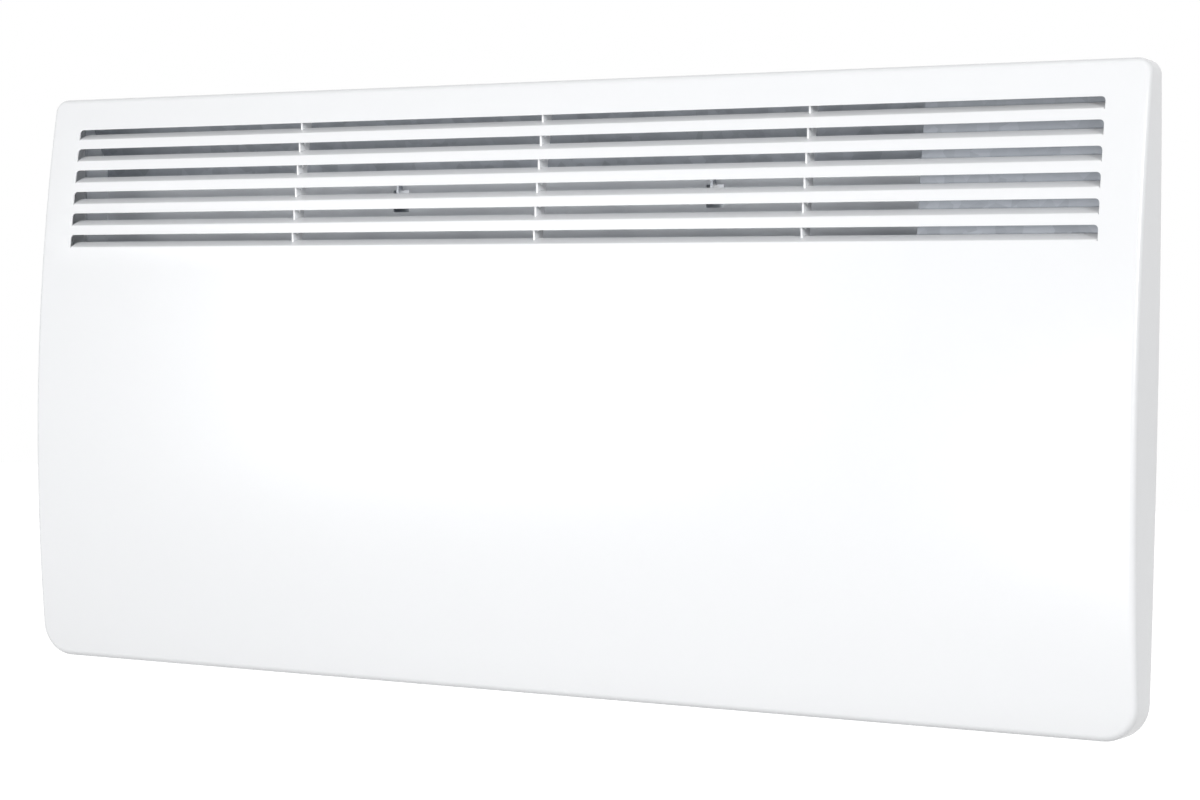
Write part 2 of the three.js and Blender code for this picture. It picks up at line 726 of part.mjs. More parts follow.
const bracketScrewSpots = [];
for (const side of [-1, 1]) {
  for (const end of [-1, 1]) {
    const x = bracketPlate(side) + side * (elementBracketFoot / 2 + 1);
    bracketScrewSpots.push([x, elementZ + end * elementBracketHeight / 3.4]);
  }
}

// A sheet bracket: a foot on the casing's back plate and a cheek that carries the bush.
function elementBracket(side) {
  const inner = bracketPlate(side);
  const outer = inner + side * elementBracketSheet;
  const footEnd = inner + side * elementBracketFoot;
  const [low, high] = [elementZ - elementBracketHeight / 2, elementZ + elementBracketHeight / 2];
  const footY = casingFloorY - gap;
  const noseY = elementY - bushFlange - 5;
  const cheek = polygon([
    [footY, low], [footY, high], [elementY, high - 4], [noseY + 3, elementZ + bushFlange + 3],
    [noseY, elementZ + bushFlange], [noseY, elementZ - bushFlange], [noseY + 3, elementZ - bushFlange - 3],
    [elementY, low + 4],
  ].reverse());
  const plate = alongX(cheek, Math.min(inner, outer), Math.max(inner, outer));
  const foot = box(
    Math.min(inner, footEnd), Math.max(inner, footEnd), footY - elementBracketSheet, footY, low, high,
  );
  const bore = rod(bushNeck + gap, inner - 4, inner + 4, axisX, 0, elementY, elementZ, 20);
  const holes = bracketScrewSpots
    .filter(([x]) => Math.sign(x - elementCentreX) === side)
    .map(([x, z]) => rod(screwShank + gap, footY - 4, footY + 4, axisY, x, 0, z, screwHoleSegments));
  return cutBy(plate.add(foot), [bore, ...holes]);
}

// ---------------------------------------------------------------- control compartment

const bulbZ = gap + bulbRadius + 7 - innerWallZ;
const bulbY = -29;
const capillaryY = -20;
const supplyHole = [elementY, elementZ];
const neutralHole = [-19.4, -196];
const bulbHole = [bulbY, bulbZ];

function partitionCurve(from, to, setback) {
  const points = [];
  for (let i = 0; i <= partitionSteps; i += 1) {
    const z = from + ((to - from) * i) / partitionSteps;
    points.push([frontAt(z) + setback, z]);
  }
  return points;
}

function controlPartition() {
  const [low, high] = [-innerWallZ + 1, wellFloorUnder - gap];
  const backY = casingFloorY - gap;
  const curve = partitionCurve(low, high, partitionSetback);
  const innerCurve = partitionCurve(low, high, partitionSetback + partitionSheet).reverse();
  const cheek = polygon([...curve, [backY, high], [backY, low]].reverse());
  const wall = alongX(cheek, chamberRight, chamberRight + partitionSheet);
  const front = alongX(polygon([...curve, ...innerCurve].reverse()), chamberRight, partitionRight);
  const foot = box(
    chamberRight + partitionSheet / 2, chamberRight + partitionFoot,
    backY - partitionSheet, backY, low + 2 * partitionSheet, high - 2 * partitionSheet,
  );
  const holeX = (radius, [y, z]) => rod(
    radius, chamberRight - 2, chamberRight + 2 * partitionSheet, axisX, 0, y, z, 16,
  );
  return cutBy(joined([wall, front, foot]), [
    holeX(grommetBore, supplyHole),
    holeX(grommetBore, neutralHole),
    holeX(grommetBore, bulbHole),
    holeX(cutoutRadius - 2 + gap, [cutoutY, cutoutZ]),
  ]);
}

const wellFrontY = wellY - wellBreadth / 2;
const wellBackY = wellY + wellBreadth / 2;

// Moulded well that holds the controls below the cover's top edge.
function controlWell() {
  const side = polygon([
    [wellFrontY, wellFloorUnder], [wellFrontY, wellTop - gap], [wellY, wellTop - gap],
    [wellBackY, wellTop - wellBackDrop], [wellBackY, wellFloorUnder],
  ].reverse());
  const [left, right] = [wellX - wellLength / 2, wellX + wellLength / 2];
  const block = alongX(side, left, right).intersect(
    alongZ(roundedRectangle(wellLength, wellBreadth, wellCorner, wellX, wellY), wellFloorUnder, wellTop),
  );
  const [innerLength, innerBreadth] = [wellLength - 2 * wellWall, wellBreadth - 2 * wellWall];
  return cutBy(block, [
    alongZ(
      roundedRectangle(innerLength, innerBreadth, wellInnerCorner, wellX, wellY), wellFloorTop, wellTop + 1,
    ),
    rod(threadRadius + gap, wellFloorUnder - 1, wellFloorTop + 1, axisZ, knobX, wellY, 0),
    rod(lensRadius - 1 + gap, wellFloorUnder - 1, wellFloorTop + 1, axisZ, lensX, wellY, 0, 16),
    box(
      switchX - switchLength / 2 - gap, switchX + switchLength / 2 + gap,
      wellY - switchBreadth / 2 - gap, wellY + switchBreadth / 2 + gap,
      wellFloorUnder - 1, wellFloorTop + 1,
    ),
  ]);
}

// A pair of blade terminals under a body.
function terminalTabs(x, y, top) {
  return [-1, 1].map((side) => box(
    x + side * tabSpread - tabThickness / 2, x + side * tabSpread + tabThickness / 2,
    y - tabWidth / 2, y + tabWidth / 2, top - tabLength, top + 1,
  ));
}

const thermostatTop = wellFloorUnder - gap;
const nutTop = wellFloorTop + gap + nutHeight;
const knobBottom = nutTop + 0.6;

function thermostatBody() {
  const bottom = thermostatTop - thermostatHeight;
  const body = alongZ(
    roundedRectangle(thermostatWidth, thermostatBreadth, 3, knobX, wellY), bottom, thermostatTop,
  );
  const thread = rod(threadRadius, thermostatTop - 1, nutTop, axisZ, knobX, wellY, 0);
  const bore = rod(spindleRadius + gap, thermostatTop - spindleSeat, nutTop + 1, axisZ, knobX, wellY, 0, 16);
  return joined([body, thread, ...terminalTabs(knobX, wellY, bottom)]).subtract(bore);
}

function thermostatNut() {
  const hexagon = rod(nutRadius, wellFloorTop + gap, nutTop, axisZ, knobX, wellY, 0, 6);
  return hexagon.subtract(rod(threadRadius + gap, wellFloorTop, nutTop + 1, axisZ, knobX, wellY, 0));
}

const spindleTop = knobBottom + knobHeight - 4;

function thermostatSpindle() {
  return rod(spindleRadius, thermostatTop - spindleSeat + gap, spindleTop, axisZ, knobX, wellY, 0, 16);
}

// A skirted knob with finger flutes round its grip and a raised pointer on top.
function thermostatKnob() {
  const grip = knobRadius - gripInset;
  const profile = [
    [0, 0], [knobRadius - 1, 0], [knobRadius, 1], [knobRadius, skirtHeight], [grip, skirtHeight + 1],
    [grip - gripTaper, knobHeight - 1], [grip - gripTaper - 1, knobHeight], [0, knobHeight],
  ];
  const form = turned(profile, axisZ, knobX, wellY, knobBottom, 32);
  const fluteCircle = grip + fluteRadius / 2;
  const flutes = Array.from({ length: fluteCount }, (_, i) => {
    const angle = ((i + 0.5) / fluteCount) * 2 * Math.PI;
    const [x, y] = [knobX + fluteCircle * Math.cos(angle), wellY + fluteCircle * Math.sin(angle)];
    const bottom = knobBottom + skirtHeight + fluteRadius;
    return rod(fluteRadius, bottom, knobBottom + knobHeight + 1, axisZ, x, y, 0, fluteSegments);
  });
  const bore = rod(spindleRadius + gap, knobBottom - 1, spindleTop + gap, axisZ, knobX, wellY, 0, 16);
  const pointer = box(
    knobX - pointerWidth / 2, knobX + pointerWidth / 2, wellY - grip + gripInset, wellY - 1,
    knobBottom + knobHeight - pointerRise, knobBottom + knobHeight + pointerRise,
  );
  return cutBy(form, [...flutes, bore]).add(pointer);
}

const switchTop = wellFloorTop + gap + bezelHeight;
const pivotZ = switchTop - pivotDrop;

function switchBody() {
  const bezel = alongZ(
    roundedRectangle(switchLength + 2 * bezelRim, switchBreadth + 2 * bezelRim, 2, switchX, wellY),
    wellFloorTop + gap, switchTop,
  );
  const bottom = switchTop - switchHeight;
  const body = box(
    switchX - switchLength / 2, switchX + switchLength / 2,
    wellY - switchBreadth / 2, wellY + switchBreadth / 2, bottom, wellFloorTop + 1,
  );
  const pocket = box(
    switchX - switchLength / 2 + switchWall, switchX + switchLength / 2 - switchWall,
    wellY - switchBreadth / 2 + switchWall, wellY + switchBreadth / 2 - switchWall,
    pivotZ - pocketDepth, switchTop + 1,
  );
  return joined([bezel, body, ...terminalTabs(switchX, wellY, bottom)]).subtract(pocket);
}

// The rocker leans to its OFF side; its trunnion turns in the switch body.
function switchRocker() {
  const half = switchLength / 2 - switchWall - 1.2;
  const outline = polygon([
    [-half, 2.4], [-3, -2], [3, -2], [half, 2.4], [half, 4.6], [half - 1, 5.4],
    [half / 2, 4.2], [0, 3.6], [-half / 2, 4.2], [1 - half, 5.4], [-half, 4.6],
  ]);
  const breadth = switchBreadth / 2 - switchWall - gap;
  const rocker = alongY(outline, -breadth, breadth);
  return rocker.rotate([0, -rockerTilt, 0]).translate(switchX, wellY, pivotZ);
}

function pilotLens() {
  const under = wellFloorUnder - lensTail;
  const profile = [
    [0, under], [lensRadius - 1, under], [lensRadius - 1, wellFloorTop + gap], [lensRadius, wellFloorTop + gap],
    [lensRadius, wellFloorTop + 1.2], [lensRadius - 1, wellFloorTop + 2.4], [0, wellFloorTop + 3],
  ];
  return turned(profile, axisZ, lensX, wellY, 0, 20);
}

// Disc cut-out that looks into the warm air and has its terminals behind the partition.
function overheatCutout() {
  const face = chamberRight - gap;
  const neck = cutoutRadius - 2;
  const back = chamberRight + partitionSheet + cutoutTail;
  const profile = [
    [0, face - 6], [cutoutRadius - 1, face - 6], [cutoutRadius, face - 5], [cutoutRadius, face],
    [neck, face], [neck, back], [0, back],
  ];
  const body = turned(profile, axisX, 0, cutoutY, cutoutZ, 20);
  const tabs = [-1, 1].map((side) => {
    const tabY = cutoutY + side * cutoutTabShift;
    return box(
      back - 1, back + tabLength, tabY - tabThickness / 2, tabY + tabThickness / 2,
      cutoutZ - tabWidth / 2, cutoutZ + tabWidth / 2,
    );
  });
  return joined([body, ...tabs]);
}

const cutoutTabEnd = chamberRight + partitionSheet + cutoutTail + tabLength;
const blockBackY = casingFloorY - gap;
const poleX = (i) => blockX + (i - (poles - 1) / 2) * (blockWidth / poles);
const leadY = blockBackY - blockDepth / 2;

function terminalBlock() {
  const base = box(
    blockX - blockWidth / 2, blockX + blockWidth / 2, blockBackY - blockBase, blockBackY,
    blockZ - blockHeight / 2, blockZ + blockHeight / 2,
  );
  const towerHalf = (blockWidth / poles - towerGap) / 2;
  const blockFront = blockBackY - blockDepth;
  const towers = [];
  const screwWells = [];
  for (let i = 0; i < poles; i += 1) {
    towers.push(box(
      poleX(i) - towerHalf, poleX(i) + towerHalf, blockFront, blockBackY - blockBase / 2,
      blockZ - blockHeight / 2 + 1, blockZ + blockHeight / 2 - 1,
    ));
    for (const side of [-1, 1]) {
      screwWells.push(rod(
        terminalRadius, blockFront - 1, blockFront + terminalDepth, axisY,
        poleX(i), 0, blockZ + side * terminalSpread, screwHoleSegments,
      ));
    }
  }
  return cutBy(joined([base, ...towers]), screwWells);
}

const glandY = (casingFloorY + casingMouthY + casingSheet) / 2;

// Cable gland: a dome and a hexagon under the casing, with its thread through the wall.
function cableGland() {
  const under = -casingWallZ - gap;
  const tip = under - glandReach;
  const thread = -innerWallZ + gap + glandNutHeight + 2;
  const profile = [
    [glandBore, tip], [glandRadius - 3, tip], [glandRadius - 1, tip + 2], [glandRadius - 1, under - 4],
    [glandRadius, under - 4], [glandRadius, under], [glandThread, under], [glandThread, thread],
    [glandBore, thread], [glandBore, tip],
  ];
  return turned(profile, axisZ, glandX, glandY, 0, 18);
}

function glandNut() {
  const [low, high] = [-innerWallZ + gap, -innerWallZ + gap + glandNutHeight];
  const hexagon = rod(glandRadius, low, high, axisZ, glandX, glandY, 0, 6);
  return hexagon.subtract(rod(glandThread + gap, low - 1, high + 1, axisZ, glandX, glandY, 0));
}

// ---------------------------------------------------------------- leads and capillary

function tube(points, radius, steps, sides = 6) {
  const section = new THREE.Shape();
  for (let i = 0; i < sides; i += 1) {
    const angle = (i / sides) * 2 * Math.PI;
    section[i === 0 ? 'moveTo' : 'lineTo'](radius * Math.cos(angle), radius * Math.sin(angle));
  }
  const places = points.map((point) => new THREE.Vector3(...point));
  const path = new THREE.CatmullRomCurve3(places, false, 'centripetal');
  return toSolid(new THREE.ExtrudeGeometry(section, { steps, extrudePath: path, bevelEnabled: false }));
}

const cutoutTabY = [cutoutY - cutoutTabShift, cutoutY + cutoutTabShift];
const tabFoot = (top) => top - tabLength - gap;
const thermostatTabs = tabFoot(thermostatTop - thermostatHeight);
const switchTabs = tabFoot(switchTop - switchHeight);
const blockTop = blockZ + blockHeight / 2 + gap;
const blockBottom = blockZ - blockHeight / 2 - gap;

const leadRoutes = {
  lead_supply: [
    [poleX(2), leadY, blockTop], [poleX(2), leadY, blockTop + 25], [poleX(2) + 16, leadY - 4, 20],
    [switchX + tabSpread + 4, wellY + 2, switchTabs - 60], [switchX + tabSpread, wellY, switchTabs - 12],
    [switchX + tabSpread, wellY, switchTabs],
  ],
  lead_switched: [
    [switchX - tabSpread, wellY, switchTabs], [switchX - tabSpread, wellY, switchTabs - 14],
    [(switchX + knobX) / 2 + 4, wellY - 3, switchTabs - 34],
    [knobX + tabSpread + 6, wellY - 2, thermostatTabs - 22], [knobX + tabSpread, wellY, thermostatTabs - 8],
    [knobX + tabSpread, wellY, thermostatTabs],
  ],
  lead_thermostat: [
    [knobX - tabSpread, wellY, thermostatTabs], [knobX - tabSpread, wellY, thermostatTabs - 20],
    [knobX - tabSpread - 4, cutoutY - 2, 40], [knobX - tabSpread - 8, cutoutTabY[0], cutoutZ + 22],
    [cutoutTabEnd + 8, cutoutTabY[0], cutoutZ], [cutoutTabEnd + gap, cutoutTabY[0], cutoutZ],
  ],
  lead_element: [
    [cutoutTabEnd + gap, cutoutTabY[1], cutoutZ], [cutoutTabEnd + 8, cutoutTabY[1], cutoutZ],
    [cutoutTabEnd + 14, cutoutTabY[1], cutoutZ - 22], [cutoutTabEnd + 6, elementY + 3, elementZ + 30],
    [chamberRight + 18, elementY, elementZ], [chamberRight - 12, elementY, elementZ],
    [pinEnd(1) + 6, elementY, elementZ], [pinEnd(1) + gap, elementY, elementZ],
  ],
  lead_neutral: [
    [poleX(0), leadY, blockBottom], [poleX(0), leadY, blockBottom - 20],
    [chamberRight + 24, neutralHole[0], neutralHole[1] + 4], [chamberRight + 8, ...neutralHole],
    [chamberRight - 12, ...neutralHole], [elementCentreX, ...neutralHole],
    [elementEnd(-1) + 20, ...neutralHole], [pinEnd(-1) - 14, neutralHole[0] - 6, neutralHole[1] + 18],
    [pinEnd(-1) - 22, elementY, elementZ - 8], [pinEnd(-1) - 10, elementY, elementZ],
    [pinEnd(-1) - 4, elementY, elementZ], [pinEnd(-1) - gap, elementY, elementZ],
  ],
};

// Sensing bulb in the inlet air, with its capillary back to the thermostat.
function sensorCapillary() {
  const top = thermostatTop - thermostatHeight - gap;
  const startX = knobX - thermostatWidth / 2 + 4;
  const capillary = tube([
    [startX, wellY + 8, top], [startX, wellY + 8, top - 20], [chamberRight + 16, capillaryY, 40],
    [chamberRight + 13, capillaryY, elementZ + 30], [chamberRight + 16, bulbY + 2, bulbZ + 24],
    [chamberRight + 13, bulbY, bulbZ + 6], [chamberRight + 5, ...bulbHole],
    [chamberRight - 10, ...bulbHole], [chamberRight - 19, ...bulbHole],
  ], capillaryRadius, capillarySteps);
  const bulbEnd = chamberRight - bulbToPartition;
  return capillary.add(rod(bulbRadius, bulbEnd - bulbLength, bulbEnd, axisX, 0, ...bulbHole, 14));
}

// A clip that stands on the casing's lower wall and holds the bulb.
function bulbClip() {
  const x = chamberRight - bulbToPartition - bulbLength / 2;
  const [low, high] = [gap - innerWallZ, bulbZ + bulbRadius + 2];
  const half = bulbRadius + 2;
  const outline = roundedRectangle(2 * half, high - low, 2, bulbY, (low + high) / 2);
  const plate = alongX(outline, x, x + clipSheet);
  const bore = rod(bulbRadius + gap, x - 1, x + 3, axisX, 0, ...bulbHole, 14);
  const foot = box(x, x + 2 * half, bulbY - half, bulbY + half, low, low + clipSheet);
  return plate.add(foot).subtract(bore);
}

// ---------------------------------------------------------------- screws

// Pan-head screw whose shank runs towards +Y or -Y from the seat under its head.
function panScrew([x, z], seatY, direction) {
  const profile = [
    [0, -screwLength], [screwShank * 0.5, -screwLength], [screwShank, -screwLength + 1.6], [screwShank, 0],
    [screwHead, 0], [screwHead, screwHeadHeight * 0.5], [screwHead * 0.6, screwHeadHeight],
    [0, screwHeadHeight],
  ];
  const placed = profile.map(([radius, height]) => [radius, -direction * height]);
  const form = turned(direction < 0 ? placed : placed.reverse(), axisY, x, seatY, z, screwSegments);
  const top = seatY - direction * screwHeadHeight;
  const [span, width] = [recessSpan / 2, recessWidth / 2];
  return cutBy(form, [
    box(x - span, x + span, top - 1, top + 1, z - width, z + width),
    box(x - width, x + width, top - 1, top + 1, z - span, z + span),
  ]);
}

// ---------------------------------------------------------------- assembly

const convectorHeater = new THREE.Group();
const heater = new THREE.Group();
heater.position.z = centreZ;
convectorHeater.add(heater);

function add(group, name, solid, material) {
  const mesh = new THREE.Mesh(toGeometry(solid), material);
  mesh.name = name;
  group.add(mesh);
}

add(convectorHeater, 'wall_bracket', wallBracket(), zincSteel);

add(heater, 'front_panel', frontPanel(), whiteEnamel);
for (let i = 0; i < combCount; i += 1) {
  const x = -slotLength / 2 + (slotLength * (i + 1)) / (combCount + 1);
  add(heater, `louvre_stiffener_${i + 1}`, louvreComb(x), whiteEnamel);
}
add(heater, 'rear_casing', rearCasing(), whiteEnamel);
spacerSpots.forEach((spot, i) => add(heater, `wall_spacer_${i + 1}`, wallSpacer(spot), whitePlastic));
add(heater, 'air_deflector', airDeflector(), galvanisedSteel);
add(heater, 'heat_shield', heatShield(), brightAluminium);

add(heater, 'heating_element', heatingElement(), brightAluminium);
add(heater, 'element_core', elementCore(), sheathSteel);
for (const [side, word] of [[-1, 'left'], [1, 'right']]) {
  add(heater, `element_bush_${word}`, elementBush(side), steatite);
  add(heater, `element_bracket_${word}`, elementBracket(side), galvanisedSteel);
}

add(heater, 'control_partition', controlPartition(), galvanisedSteel);
add(heater, 'control_well', controlWell(), greyPlastic);
add(heater, 'thermostat_body', thermostatBody(), blackPlastic);
add(heater, 'thermostat_nut', thermostatNut(), brass);
add(heater, 'thermostat_spindle', thermostatSpindle(), zincSteel);
add(heater, 'thermostat_knob', thermostatKnob(), whitePlastic);
add(heater, 'switch_body', switchBody(), blackPlastic);
add(heater, 'switch_rocker', switchRocker(), whitePlastic);
add(heater, 'pilot_lens', pilotLens(), redLens);
add(heater, 'overheat_cutout', overheatCutout(), blackPlastic);
add(heater, 'terminal_block', terminalBlock(), steatite);
add(heater, 'cable_gland', cableGland(), greyPlastic);
add(heater, 'cable_gland_nut', glandNut(), greyPlastic);
add(heater, 'sensor_capillary', sensorCapillary(), copper);
add(heater, 'sensor_clip', bulbClip(), zincSteel);
for (const [name, route] of Object.entries(leadRoutes)) {
  add(heater, name, tube(route, leadRadius, name === 'lead_neutral' ? neutralSteps : leadSteps), leadSleeve);
}

coverScrewSpots.forEach((spot, i) => {
  add(heater, `cover_screw_${i + 1}`, panScrew(spot, casingMouthY + casingSheet + gap, -1), zincSteel);
});
bracketScrewSpots.forEach((spot, i) => {
  const seat = casingFloorY - elementBracketSheet - 2 * gap;
  add(heater, `bracket_screw_${i + 1}`, panScrew(spot, seat, 1), zincSteel);
});

export default convectorHeater;
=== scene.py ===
# %% [markdown]
# # A wall panel convector heater
# The imported model is the frame of this scene. It holds every piece at its real size and place, in metres:
# +X runs to the right as seen from the room, +Y into the wall and +Z up. The louvred front faces -Y. The
# scene gives it finishes and finer forms, so it starts by loading it.

import json
import math
from contextlib import contextmanager

import bmesh
import bpy
from mathutils import Matrix, Vector


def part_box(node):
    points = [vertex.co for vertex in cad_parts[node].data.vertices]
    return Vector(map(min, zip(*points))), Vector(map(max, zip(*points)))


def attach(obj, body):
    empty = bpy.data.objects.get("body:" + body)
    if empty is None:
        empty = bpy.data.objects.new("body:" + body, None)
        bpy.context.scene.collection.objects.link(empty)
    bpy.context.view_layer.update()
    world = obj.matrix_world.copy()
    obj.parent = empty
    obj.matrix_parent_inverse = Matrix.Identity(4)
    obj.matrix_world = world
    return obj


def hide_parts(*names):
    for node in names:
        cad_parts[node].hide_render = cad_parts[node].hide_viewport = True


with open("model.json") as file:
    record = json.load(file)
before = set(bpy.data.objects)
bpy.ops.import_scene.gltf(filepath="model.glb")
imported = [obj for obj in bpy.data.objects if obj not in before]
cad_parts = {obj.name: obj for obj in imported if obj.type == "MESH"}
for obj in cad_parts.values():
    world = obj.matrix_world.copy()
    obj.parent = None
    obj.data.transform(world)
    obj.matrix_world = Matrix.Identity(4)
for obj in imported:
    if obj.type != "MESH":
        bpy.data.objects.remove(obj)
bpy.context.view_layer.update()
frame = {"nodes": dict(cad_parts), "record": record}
nodes = frame["nodes"]
for plain in list(bpy.data.materials):
    bpy.data.materials.remove(plain)

# %% [markdown]
# The camera comes next, because every finish is judged through it. It stands at the heater's right, level
# with its middle. Its lens is rather long, so the near end looks only a little taller than the far end. Its
# place is written from the middle of the cover's rear rim, and its turn as three angles.

# %% Place the camera
MM = 0.001
cover_low, cover_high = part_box("front_panel")
cover_height = cover_high.z - cover_low.z
cover_middle = (cover_low.z + cover_high.z) / 2
rim_y = cover_high.y

CAMERA_FROM_RIM = Vector((1035.2, -1761.1, 3.3)) * MM
CAMERA_YAW = 0.51567
CAMERA_PITCH = -0.00559
CAMERA_ROLL = 0.02109
CAMERA_LENS = 84.47
SENSOR_WIDTH = 36

turn = (Matrix.Rotation(CAMERA_YAW, 4, "Z") @ Matrix.Rotation(math.pi / 2 + CAMERA_PITCH, 4, "X")
        @ Matrix.Rotation(CAMERA_ROLL, 4, "Z"))
camera = bpy.data.objects.new("camera", bpy.data.cameras.new("camera"))
camera.data.lens = CAMERA_LENS
camera.data.sensor_width = SENSOR_WIDTH
camera.matrix_world = Matrix.Translation(Vector((0, rim_y, cover_middle)) + CAMERA_FROM_RIM) @ turn
bpy.context.scene.collection.objects.link(camera)
bpy.context.scene.camera = camera
print("camera at", [round(v, 3) for v in camera.matrix_world.translation])

# %% [markdown]
# Shader maths reads best as ordinary arithmetic. A `Value` wraps one output of a node, and each Python
# operator on it adds the matching Math node. A `Finish` is one material: it keeps the Principled shader, adds
# any other node from its type, settings and inputs, and feeds what varies over the surface into the shader.

# %% Write shader maths as Python
FINISHES = {}


def socket_of(sockets, key):
    """A node's socket by its number, its name or its identifier."""
    return sockets[key] if isinstance(key, int) else next(s for s in sockets if key in (s.identifier, s.name))


class Value:
    def __init__(self, finish, socket):
        self.finish = finish
        self.socket = socket

    def maths(self, operation, first, second):
        return self.finish.node("ShaderNodeMath", {"operation": operation}, {0: first, 1: second})

    def __add__(self, other):
        return self.maths("ADD", self, other)

    def __sub__(self, other):
        return self.maths("SUBTRACT", self, other)

    def __rsub__(self, other):
        return self.maths("SUBTRACT", other, self)

    def __mul__(self, other):
        return self.maths("MULTIPLY", self, other)

    def __gt__(self, other):
        return self.maths("GREATER_THAN", self, other)

    __radd__ = __add__
    __rmul__ = __mul__


class Finish:
    def __init__(self, name, color, roughness, **uniform):
        material = bpy.data.materials.new(name)
        material.use_nodes = True
        self.tree = material.node_tree
        self.shader = self.tree.nodes["Principled BSDF"]
        self.color = (*color, 1)
        for socket, value in {"Base Color": self.color, "Roughness": roughness, **uniform}.items():
            self.shader.inputs[socket].default_value = value
        FINISHES[name] = material

    def node(self, kind, settings, sockets, output=0):
        made = self.tree.nodes.new(kind)
        for setting, value in settings.items():
            setattr(made, setting, value)
        for key, value in sockets.items():
            socket = socket_of(made.inputs, key)
            if isinstance(value, Value):
                self.tree.links.new(value.socket, socket)
            else:
                socket.default_value = value
        return Value(self, socket_of(made.outputs, output))

    def feed(self, socket, value):
        self.tree.links.new(value.socket, self.shader.inputs[socket])

    def place(self, stretch=(1, 1, 1)):
        """The surface's own place in metres, with a pattern's axes stretched or squeezed."""
        found = self.node("ShaderNodeTexCoord", {}, {}, "Object")
        return self.node("ShaderNodeMapping", {}, {"Vector": found, "Scale": stretch})

    def noise(self, scale, detail=3, stretch=(1, 1, 1)):
        return self.node(
            "ShaderNodeTexNoise", {}, {"Vector": self.place(stretch), "Scale": scale, "Detail": detail})

    def tint(self, mask, color, share):
        """The base colour turns towards another one, by that share where the mask is 1."""
        base = self.shader.inputs["Base Color"]
        under = Value(self, base.links[0].from_socket) if base.links else self.color
        self.feed("Base Color", self.node(
            "ShaderNodeMix", {"data_type": "RGBA"},
            {"Factor_Float": mask * share, "A_Color": under, "B_Color": (*color, 1)}, "Result_Color"))

    def roughen(self, pattern, low, high):
        """The roughness runs from low to high as the pattern runs from 0 to 1."""
        self.feed("Roughness", pattern * (high - low) + low)

    def bump(self, pattern, depth):
        """A pattern from 0 to 1 becomes a relief of that depth in metres."""
        self.feed("Normal", self.node(
            "ShaderNodeBump", {}, {"Strength": 1, "Distance": depth, "Height": pattern}))


def shaded(color, *factors):
    """A colour times one factor, or times one each for red, green and blue."""
    return tuple(c * f for c, f in zip(color, factors * (3 // len(factors))))


print("shader helpers ready")

# %% [markdown]
# The heater stands alone on white. The world looks pure white to the camera and in reflections, but sheds
# less light than that, so that shadows are filled and still seen. A wide soft lamp in front and a weaker one
# below it light the cover evenly, and one overhead reaches the blades. A small key lamp at the far right
# lights the flange a little less than the front and shines through the louvres on the combs. The floor looks
# white too, but throws little light back, so that the underside stays darker than the front.

# %% Light the studio
WORLD_LEVEL = 0.38
FLOOR_SIZE = 14
FLOOR_DROP = 0.15
FLOOR_SHADE = 0.45
# Each lamp has its place, the width of its square and its power in watts.
LAMPS = {
    "front softbox": ((-1.4, -2.2, 0.0), 1.0, 15),
    "low fill": ((0.2, -1.7, -0.35), 0.3, 8),
    "top softbox": ((0.2, -1.1, 1.7), 1.2, 3.5),
    "key from the right": ((3.2, -1.7, 0.5), 0.5, 43),
}
AIM = Vector((0, -0.05, cover_middle))
WHITE = (1, 1, 1, 1)


def seen_only(tree):
    """1 for rays from the camera, glossy reflections and glass, and 0 for the light that falls."""
    path = tree.nodes.new("ShaderNodeLightPath")
    total = path.outputs["Is Camera Ray"]
    for ray in ("Is Glossy Ray", "Is Transmission Ray"):
        larger = tree.nodes.new("ShaderNodeMath")
        larger.operation = "MAXIMUM"
        tree.links.new(total, larger.inputs[0])
        tree.links.new(path.outputs[ray], larger.inputs[1])
        total = larger.outputs[0]
    return total


world = bpy.data.worlds.new("white studio")
world.use_nodes = True
bpy.context.scene.world = world
background = world.node_tree.nodes["Background"]
background.inputs["Color"].default_value = WHITE
spread = world.node_tree.nodes.new("ShaderNodeMapRange")
spread.inputs["To Min"].default_value = WORLD_LEVEL
spread.inputs["To Max"].default_value = 1
world.node_tree.links.new(seen_only(world.node_tree), spread.inputs["Value"])
world.node_tree.links.new(spread.outputs["Result"], background.inputs["Strength"])

bpy.ops.mesh.primitive_plane_add(size=FLOOR_SIZE, location=(0, 0, cover_low.z - FLOOR_DROP))
floor = bpy.context.object
floor.name = "floor"
paint = Finish("floor", (FLOOR_SHADE,) * 3, 0.9, **{"Specular IOR Level": 0, "Emission Color": WHITE})
paint.tree.links.new(seen_only(paint.tree), paint.shader.inputs["Emission Strength"])
floor.data.materials.append(FINISHES.pop("floor"))

for name, (place, size, power) in LAMPS.items():
    lamp = bpy.data.lights.new(name, "AREA")
    lamp.shape = "SQUARE"
    lamp.size = size
    lamp.energy = power
    holder = bpy.data.objects.new(name, lamp)
    holder.location = place
    holder.rotation_mode = "QUATERNION"
    holder.rotation_quaternion = (AIM - Vector(place)).to_track_quat("-Z", "Y")
    bpy.context.scene.collection.objects.link(holder)
bpy.context.scene.view_settings.view_transform = "Standard"
print("lamps:", ", ".join(LAMPS))

# %% [markdown]
# The cover and the casing are steel under a white powder coat. The powder melts into a glossy film with a
# faint ripple, known as orange peel, a millimetre or two across. Its gloss comes from the film itself, so the
# roughness is low but never mirror-like, and it wanders slightly where the film is thicker or thinner.

# %% Finish: powder coats
def powder_coat(name, color, roughness, ripple, depth):
    made = Finish(name, color, roughness, IOR=1.5)
    made.tint(made.noise(scale=9, detail=2), shaded(color, 0.985), share=0.35)
    made.roughen(made.noise(scale=60, detail=2), roughness - 0.04, roughness + 0.04)
    made.bump(made.noise(scale=ripple, detail=2), depth)


